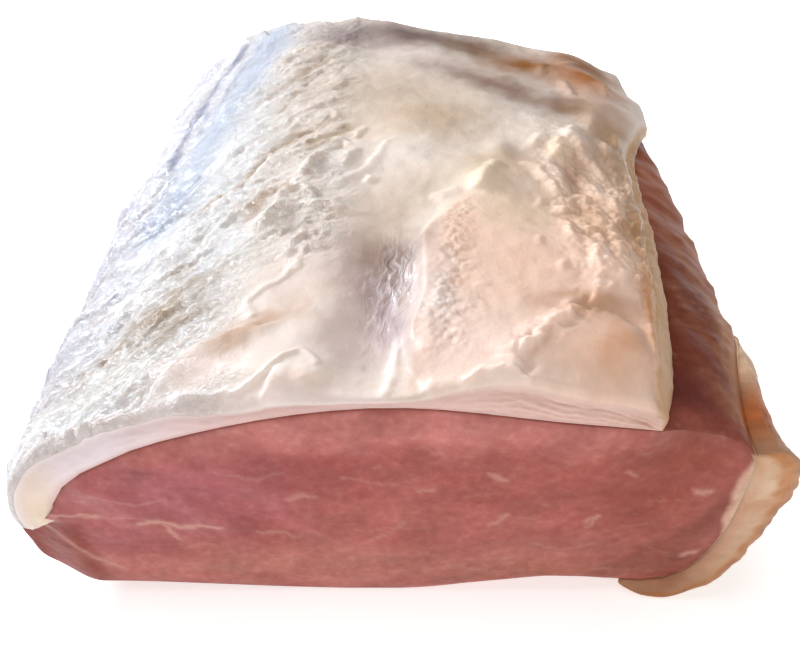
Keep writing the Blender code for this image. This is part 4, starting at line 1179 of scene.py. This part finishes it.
def leanMaterial():
    # raw muscle: the vertex tones with grain, fibre, veins and flecks
    def build(tree):
        tone, vein, wet = (attribute(tree, n, k) for n, k in (("tone", 0), ("vein", 2), ("wet", 2)))
        place = objectPlace(tree)
        grain = noiseAt(tree, place, 420.0, 4.0, 0.6)
        cloud = noiseAt(tree, place, 70.0, 4.0, 0.5)
        fibre = noiseAt(tree, objectPlace(tree, (60, 90, 260), (0, 0.5, 0)), 3.0, 3.0, 0.6, 0.5)
        flecks = noiseAt(tree, place, 240.0, 2.0, 0.5).between(0.66, 0.76)
        # darker clouds, paler grain that is partly painted pinkish-grey highlight, darker grain, then
        # veins and a few flecks of pale fat
        colour = tinted(tone, (cloud.between(0.3, 0.75) * 0.35, (0.62, 0.4, 0.38, 1)),
                        (grain.between(0.45, 0.8) * 0.8, (1.25, 1.5, 1.5, 1)),
                        ((1 - grain).between(0.5, 0.72) * 0.45, (0.78, 0.66, 0.64, 1)))
        pale = (0.6, 0.32, 0.26, 1)
        colour = mixColour(vein * (0.75 + 0.5 * grain), colour, pale)
        colour = mixColour(flecks * 0.1, colour, pale)
        rough = 0.42 + 0.2 * (grain - 0.5) - 0.08 * wet
        height = grain * 0.5 + fibre * 0.15 + cloud * 0.7 + vein * 0.4
        return {"Base Color": colour, "Roughness": rough, "Coat Weight": 0.02 + 0.3 * wet,
                "Normal": bumpFrom(tree, height, 0.0003, 0.6)}
    return wetMaterial("leanFlesh", {"Specular IOR Level": 0.12, "IOR": 1.33, "Coat Roughness": 0.25,
                                     "Subsurface Weight": 0.15, "Subsurface Radius": (1.0, 0.3, 0.2),
                                     "Subsurface Scale": 0.003}, build)


# The strip of fat down the right side, in millimetres.
sideLook = {
    "columns": 72, "innerColumns": 12, "wallColumns": 6,
    "firstStep": 0.7, "lastStep": 1.6, "rimRadius": 1.3, "rimRows": 5,
    "gap": -0.3,                   # the strip is grown onto the lean
    # Thickness at the top at the same places as the joint's sideY, and how it falls to the low end.
    "thickness": [12.8, 8.6, 5.8, 4.2, 2.8, 2.5, 2.5, 2.5], "slim": 1.0,
    "heelFat": 2.4, "backFat": 2.4, "heelBack": -60.0,       # at the low end, front and behind
    "edge": 0.35,                  # left at the long edges
    "toeOut": 3.4, "toeDepth": 4.0, "toeInner": 0.12,        # how far the low end stands forward
    "unevenFront": 26.0,           # length over which the knobs fade into strands
    # Tones behind the cut: y, place round the strip from 0 to 50, half sizes, turn, colour, strength.
    "tan": (196, 136, 90),
    "tanPatches": [
        (-70, 6, 24, 7, 0, (196, 106, 46), 0.95), (-55, 0, 20, 3.4, 0, (252, 216, 180), 0.95),
        (-80, 1, 7, 4, 0, (192, 100, 48), 0.8), (-80, 6, 7, 5, 0, (194, 104, 40), 0.8),
        (-58, 4, 5, 2, 0, (224, 182, 142), 0.7), (-76, 16, 16, 7, 0, (184, 104, 48), 0.85),
        (-90, 13, 5, 6, 0, (150, 84, 44), 0.7), (-30, 30, 40, 14, 0, (150, 82, 46), 0.7),
        (40, 20, 60, 20, 0, (144, 84, 50), 0.7),
    ],
    # Tones at the cut: place round the strip, y, half sizes, turn, colour, strength.
    "cream": (200, 160, 128),
    "creamPatches": [
        (3, -93, 4, 40, 0, (208, 172, 138), 0.8), (11, -88, 4, 6, 0, (198, 130, 66), 0.9),
        (9, -95, 4, 3.5, 0, (226, 200, 174), 0.9), (22, -93, 7, 40, 0, (204, 166, 140), 0.7),
        (44, -93, 9, 40, 0, (168, 116, 86), 0.8),
    ],
    "blush": (190, 116, 92), "rind": (186, 120, 66),
}


def buildSide(material):
    # the section curves' right side, moved outwards by a thickness that thins to top, toe and rear
    look = sideLook
    rows = rowsAlong(look["firstStep"], look["lastStep"], look["rimRadius"], look["rimRows"])
    sections, marks = sectionsAt(rows)
    q = np.linspace(0, 1, look["columns"] + 1)
    top, low = marks[:, 3], marks[:, 4]
    where = top[:, None] + (low - top)[:, None] * q
    x, z, nx, nz = alongSections(sections, where)
    y = np.broadcast_to(rows[:, None], x.shape)
    thickTop = smoothTable(rows, joint["sideY"], look["thickness"])[:, None]
    thickLow = np.interp(rows, [joint["front"], look["heelBack"]],
                         [look["heelFat"], look["backFat"]])[:, None]
    thick = thickLow + (thickTop - thickLow) * (1 - q) ** look["slim"]
    full = np.sqrt(np.maximum(0, 1 - abs(2 * q - 1) ** 5))
    inset = rimInset(rows, look["rimRadius"])[:, None]
    feather = 1 - ramp(rows, -62, -45)[:, None] * (1 - ramp(q, 0, 0.3))
    thick = look["edge"] * (0.12 + 0.88 * feather) + (thick - look["edge"] - inset) * full * feather
    arc = where - marks[:, 3:4]
    fleshy = np.exp(-((rows - joint["front"]) / look["unevenFront"]) ** 2)[:, None]
    knobs = curdNoise(arc / 7 + 0.3, y / 9, 211) * 1.5 + cloudNoise(arc / 4, y / 5, 223, 3) * 0.6
    strands = wrinkleNoise((arc + 0.5 * y) / 3.4, y / 20, 227, 2) * 0.35
    relief = (knobs - 0.7) * fleshy + (strands - 0.2) * (1 - 0.6 * fleshy)
    thick = np.maximum(thick + relief * full, 0.35)
    outX, outZ = x + nx * thick, np.maximum(z + nz * thick, 0.0)
    toe = ramp(q, 0.35, 0.8) * (1 - ramp(q, 0.85, 1.1)) * look["toeOut"]
    early = np.exp(-((rows - joint["front"]) / look["toeDepth"]) ** 2)[:, None]
    forward = toe * early                                    # the low end stands out of the cut

    def tones(px, py, pq, creamy=1.0):
        # cream-pink at the front, tan-orange behind, darker and browner to the rear
        reach = 4.5 + 8 * ramp(pq, 0.15, 0.4)
        near = np.exp(-((py - joint["front"]) / reach) ** 2)[..., None] * creamy
        tan = painted(evenTone(look["tan"], px), py, pq * 50, look["tanPatches"])
        cream = painted(evenTone(look["cream"], px), pq * 50, py, look["creamPatches"])
        streak = (1 + 0.3 * cloudNoise(px / 1.5, py / 16, 231, 3))[..., None]
        return tan * streak * (1 - near) + cream * near

    skin = Skin()
    grain = (0.84 + 0.2 * cloudNoise(arc / 5, y / 7, 229, 3)
             + 0.45 * strands * (1 - 0.4 * fleshy))[..., None] * np.array([1, 1.03, 1.08])
    outerTone = tones(outX, y, np.broadcast_to(q, outX.shape), 0.45) * grain
    outer = skin.add(outX, y - forward, outZ, tone=outerTone, wet=0.3, wrinkle=0.25)
    qIn = np.linspace(0, 1, look["innerColumns"] + 1)
    whereIn = top[:, None] + (low - top)[:, None] * qIn
    ix, iz, inx, inz = alongSections(sections, whereIn)
    ix, iz = ix + inx * look["gap"], np.maximum(iz + inz * look["gap"], 0.0)
    rowY = np.broadcast_to(rows[:, None], ix.shape)
    iy = rowY - look["toeInner"] * np.interp(qIn, q, toe) * early
    inner = skin.add(ix, iy, iz, tone=tones(ix, rowY, np.broadcast_to(qIn, ix.shape)), wet=0.3)
    share = np.linspace(0, 1, look["wallColumns"] + 1)[1:-1]
    walls = []
    for end in (-1, 0):
        wx, wz = wallBetween(outX[:, end, None], outZ[:, end, None], ix[:, end, None],
                             iz[:, end, None], share, 0.5 * np.sin(np.pi * share))
        wy = (y - forward)[:, end, None] * (1 - share) + iy[:, end, None] * share
        tint = tones(wx, np.broadcast_to(rows[:, None], wx.shape), np.full(wx.shape, q[end]))
        walls.append(skin.add(wx, wy, np.maximum(wz, 0.0), tone=tint, wet=0.4))
    lowWall, topWall = walls
    skin.grid(np.concatenate([outer, lowWall, inner[:, ::-1], topWall[:, ::-1], outer[:, :1]], 1))
    share2 = share[:, None]
    for row, out in ((0, -1.0), (-1, 1.0)):
        inX, inZ = np.interp(q, qIn, ix[row]), np.interp(q, qIn, iz[row])
        bx, bz = outX[row] * (1 - share2) + inX * share2, outZ[row] * (1 - share2) + inZ * share2
        base = (y - forward)[row] * (1 - share2) + np.interp(q, qIn, iy[row]) * share2
        tall = np.hypot(outX[row] - inX, outZ[row] - inZ)
        by = base + out * np.sin(np.pi * share2) * (0.5 * ramp(tall, 1, 6)
                                                    + 0.5 * cloudNoise(bx / 5, bz / 5, 233, 3))
        tint = tones(bx, np.full(bx.shape, rows[row]), np.broadcast_to(q, bx.shape))
        tint = blended(tint, look["blush"], 0.45 * ramp(share2, 0.6, 1.0))
        ragged = share2 + 0.12 * cloudNoise(bx / 4, bz / 4, 235, 2) - 0.24 * (1 - ramp(q, 0.1, 0.4))
        tint = blended(tint, look["rind"], 0.85 * (1 - ramp(ragged, 0.08, 0.34)))
        band = skin.add(bx[:, 1:-1], by[:, 1:-1], bz[:, 1:-1], tone=tint[:, 1:-1], wet=0.45)
        skin.closeCut(row, outer, topWall, band, lowWall, inner)
    return skin.finish("sideStrip", material)


# Floor, lights and camera, in metres, watts and degrees.
studio = {
    "floorSize": 3.0, "floorTone": (0.93, 0.93, 0.93),
    "world": 0.2, "floorGlow": 0.56,
    "window": {"way": (-0.8, 0.48, 0.42), "distance": 0.8, "size": (0.26, 0.22), "power": 7.8,
               "tint": (0.9, 0.95, 1.0)},
    "overhead": {"way": (-0.25, 0.1, 1.0), "distance": 0.95, "size": (0.6, 0.6), "power": 4.8,
                 "tint": (1.0, 1.0, 1.0)},
    "fill": {"way": (0.35, -0.9, 0.5), "distance": 1.0, "size": (0.8, 0.6), "power": 2.9,
             "tint": (1.0, 0.95, 0.88)},
    "eye": (-0.0001, -0.18539, 0.17763), "lookDown": 43.0, "lens": 34.07, "sensor": 36.0,
}


def buildStudio():
    # a pale floor that glows a little, a white room, three area lights and the camera
    size = studio["floorSize"] / 2
    mesh = bpy.data.meshes.new("floor")
    mesh.from_pydata([(-size, -size, 0), (size, -size, 0), (size, size, 0), (-size, size, 0)], [],
                     [(0, 1, 2, 3)])
    floor = bpy.data.objects.new("floor", mesh)
    bpy.context.scene.collection.objects.link(floor)
    material = bpy.data.materials.new("paleFloor")
    material.use_nodes = True
    shader = material.node_tree.nodes["Principled BSDF"]
    shader.inputs["Base Color"].default_value = (*studio["floorTone"], 1)
    shader.inputs["Roughness"].default_value = 0.7
    shader.inputs["Emission Color"].default_value = (1, 1, 1, 1)
    shader.inputs["Emission Strength"].default_value = studio["floorGlow"]
    mesh.materials.append(material)

    world = bpy.data.worlds.new("softRoom")
    world.use_nodes = True
    world.node_tree.nodes["Background"].inputs[0].default_value = (1, 1, 1, 1)
    world.node_tree.nodes["Background"].inputs[1].default_value = studio["world"]
    bpy.context.scene.world = world
    middle = Vector((0, 0, 0.045))
    for name in ("window", "overhead", "fill"):
        setting = studio[name]
        data = bpy.data.lights.new(name + "Light", "AREA")
        data.shape = "RECTANGLE"
        data.size, data.size_y = setting["size"]
        data.energy, data.color = setting["power"], setting["tint"]
        lamp = bpy.data.objects.new(name + "Light", data)
        way = Vector(setting["way"]).normalized()
        lamp.location = middle + way * setting["distance"]
        lamp.rotation_euler = (-way).to_track_quat("-Z", "Y").to_euler()
        bpy.context.scene.collection.objects.link(lamp)

    data = bpy.data.cameras.new("eye")
    data.sensor_width, data.lens = studio["sensor"], studio["lens"]
    data.clip_start = 0.005
    camera = bpy.data.objects.new("eye", data)
    camera.location = studio["eye"]
    camera.rotation_euler = (math.radians(90 - studio["lookDown"]), 0, 0)
    bpy.context.scene.collection.objects.link(camera)
    bpy.context.scene.camera = camera
    bpy.context.scene.view_settings.view_transform = "Standard"


cap = buildFatCap(fatMaterial("capSkin", 0.42))
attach(cap, "root")
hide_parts("fat_cap")
lean = buildLean(leanMaterial())
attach(lean, "root")
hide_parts("lean_loin")
side = buildSide(fatMaterial("sideSkin", 0.15))
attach(side, "root")
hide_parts("side_fat")
buildStudio()
print("studio set")
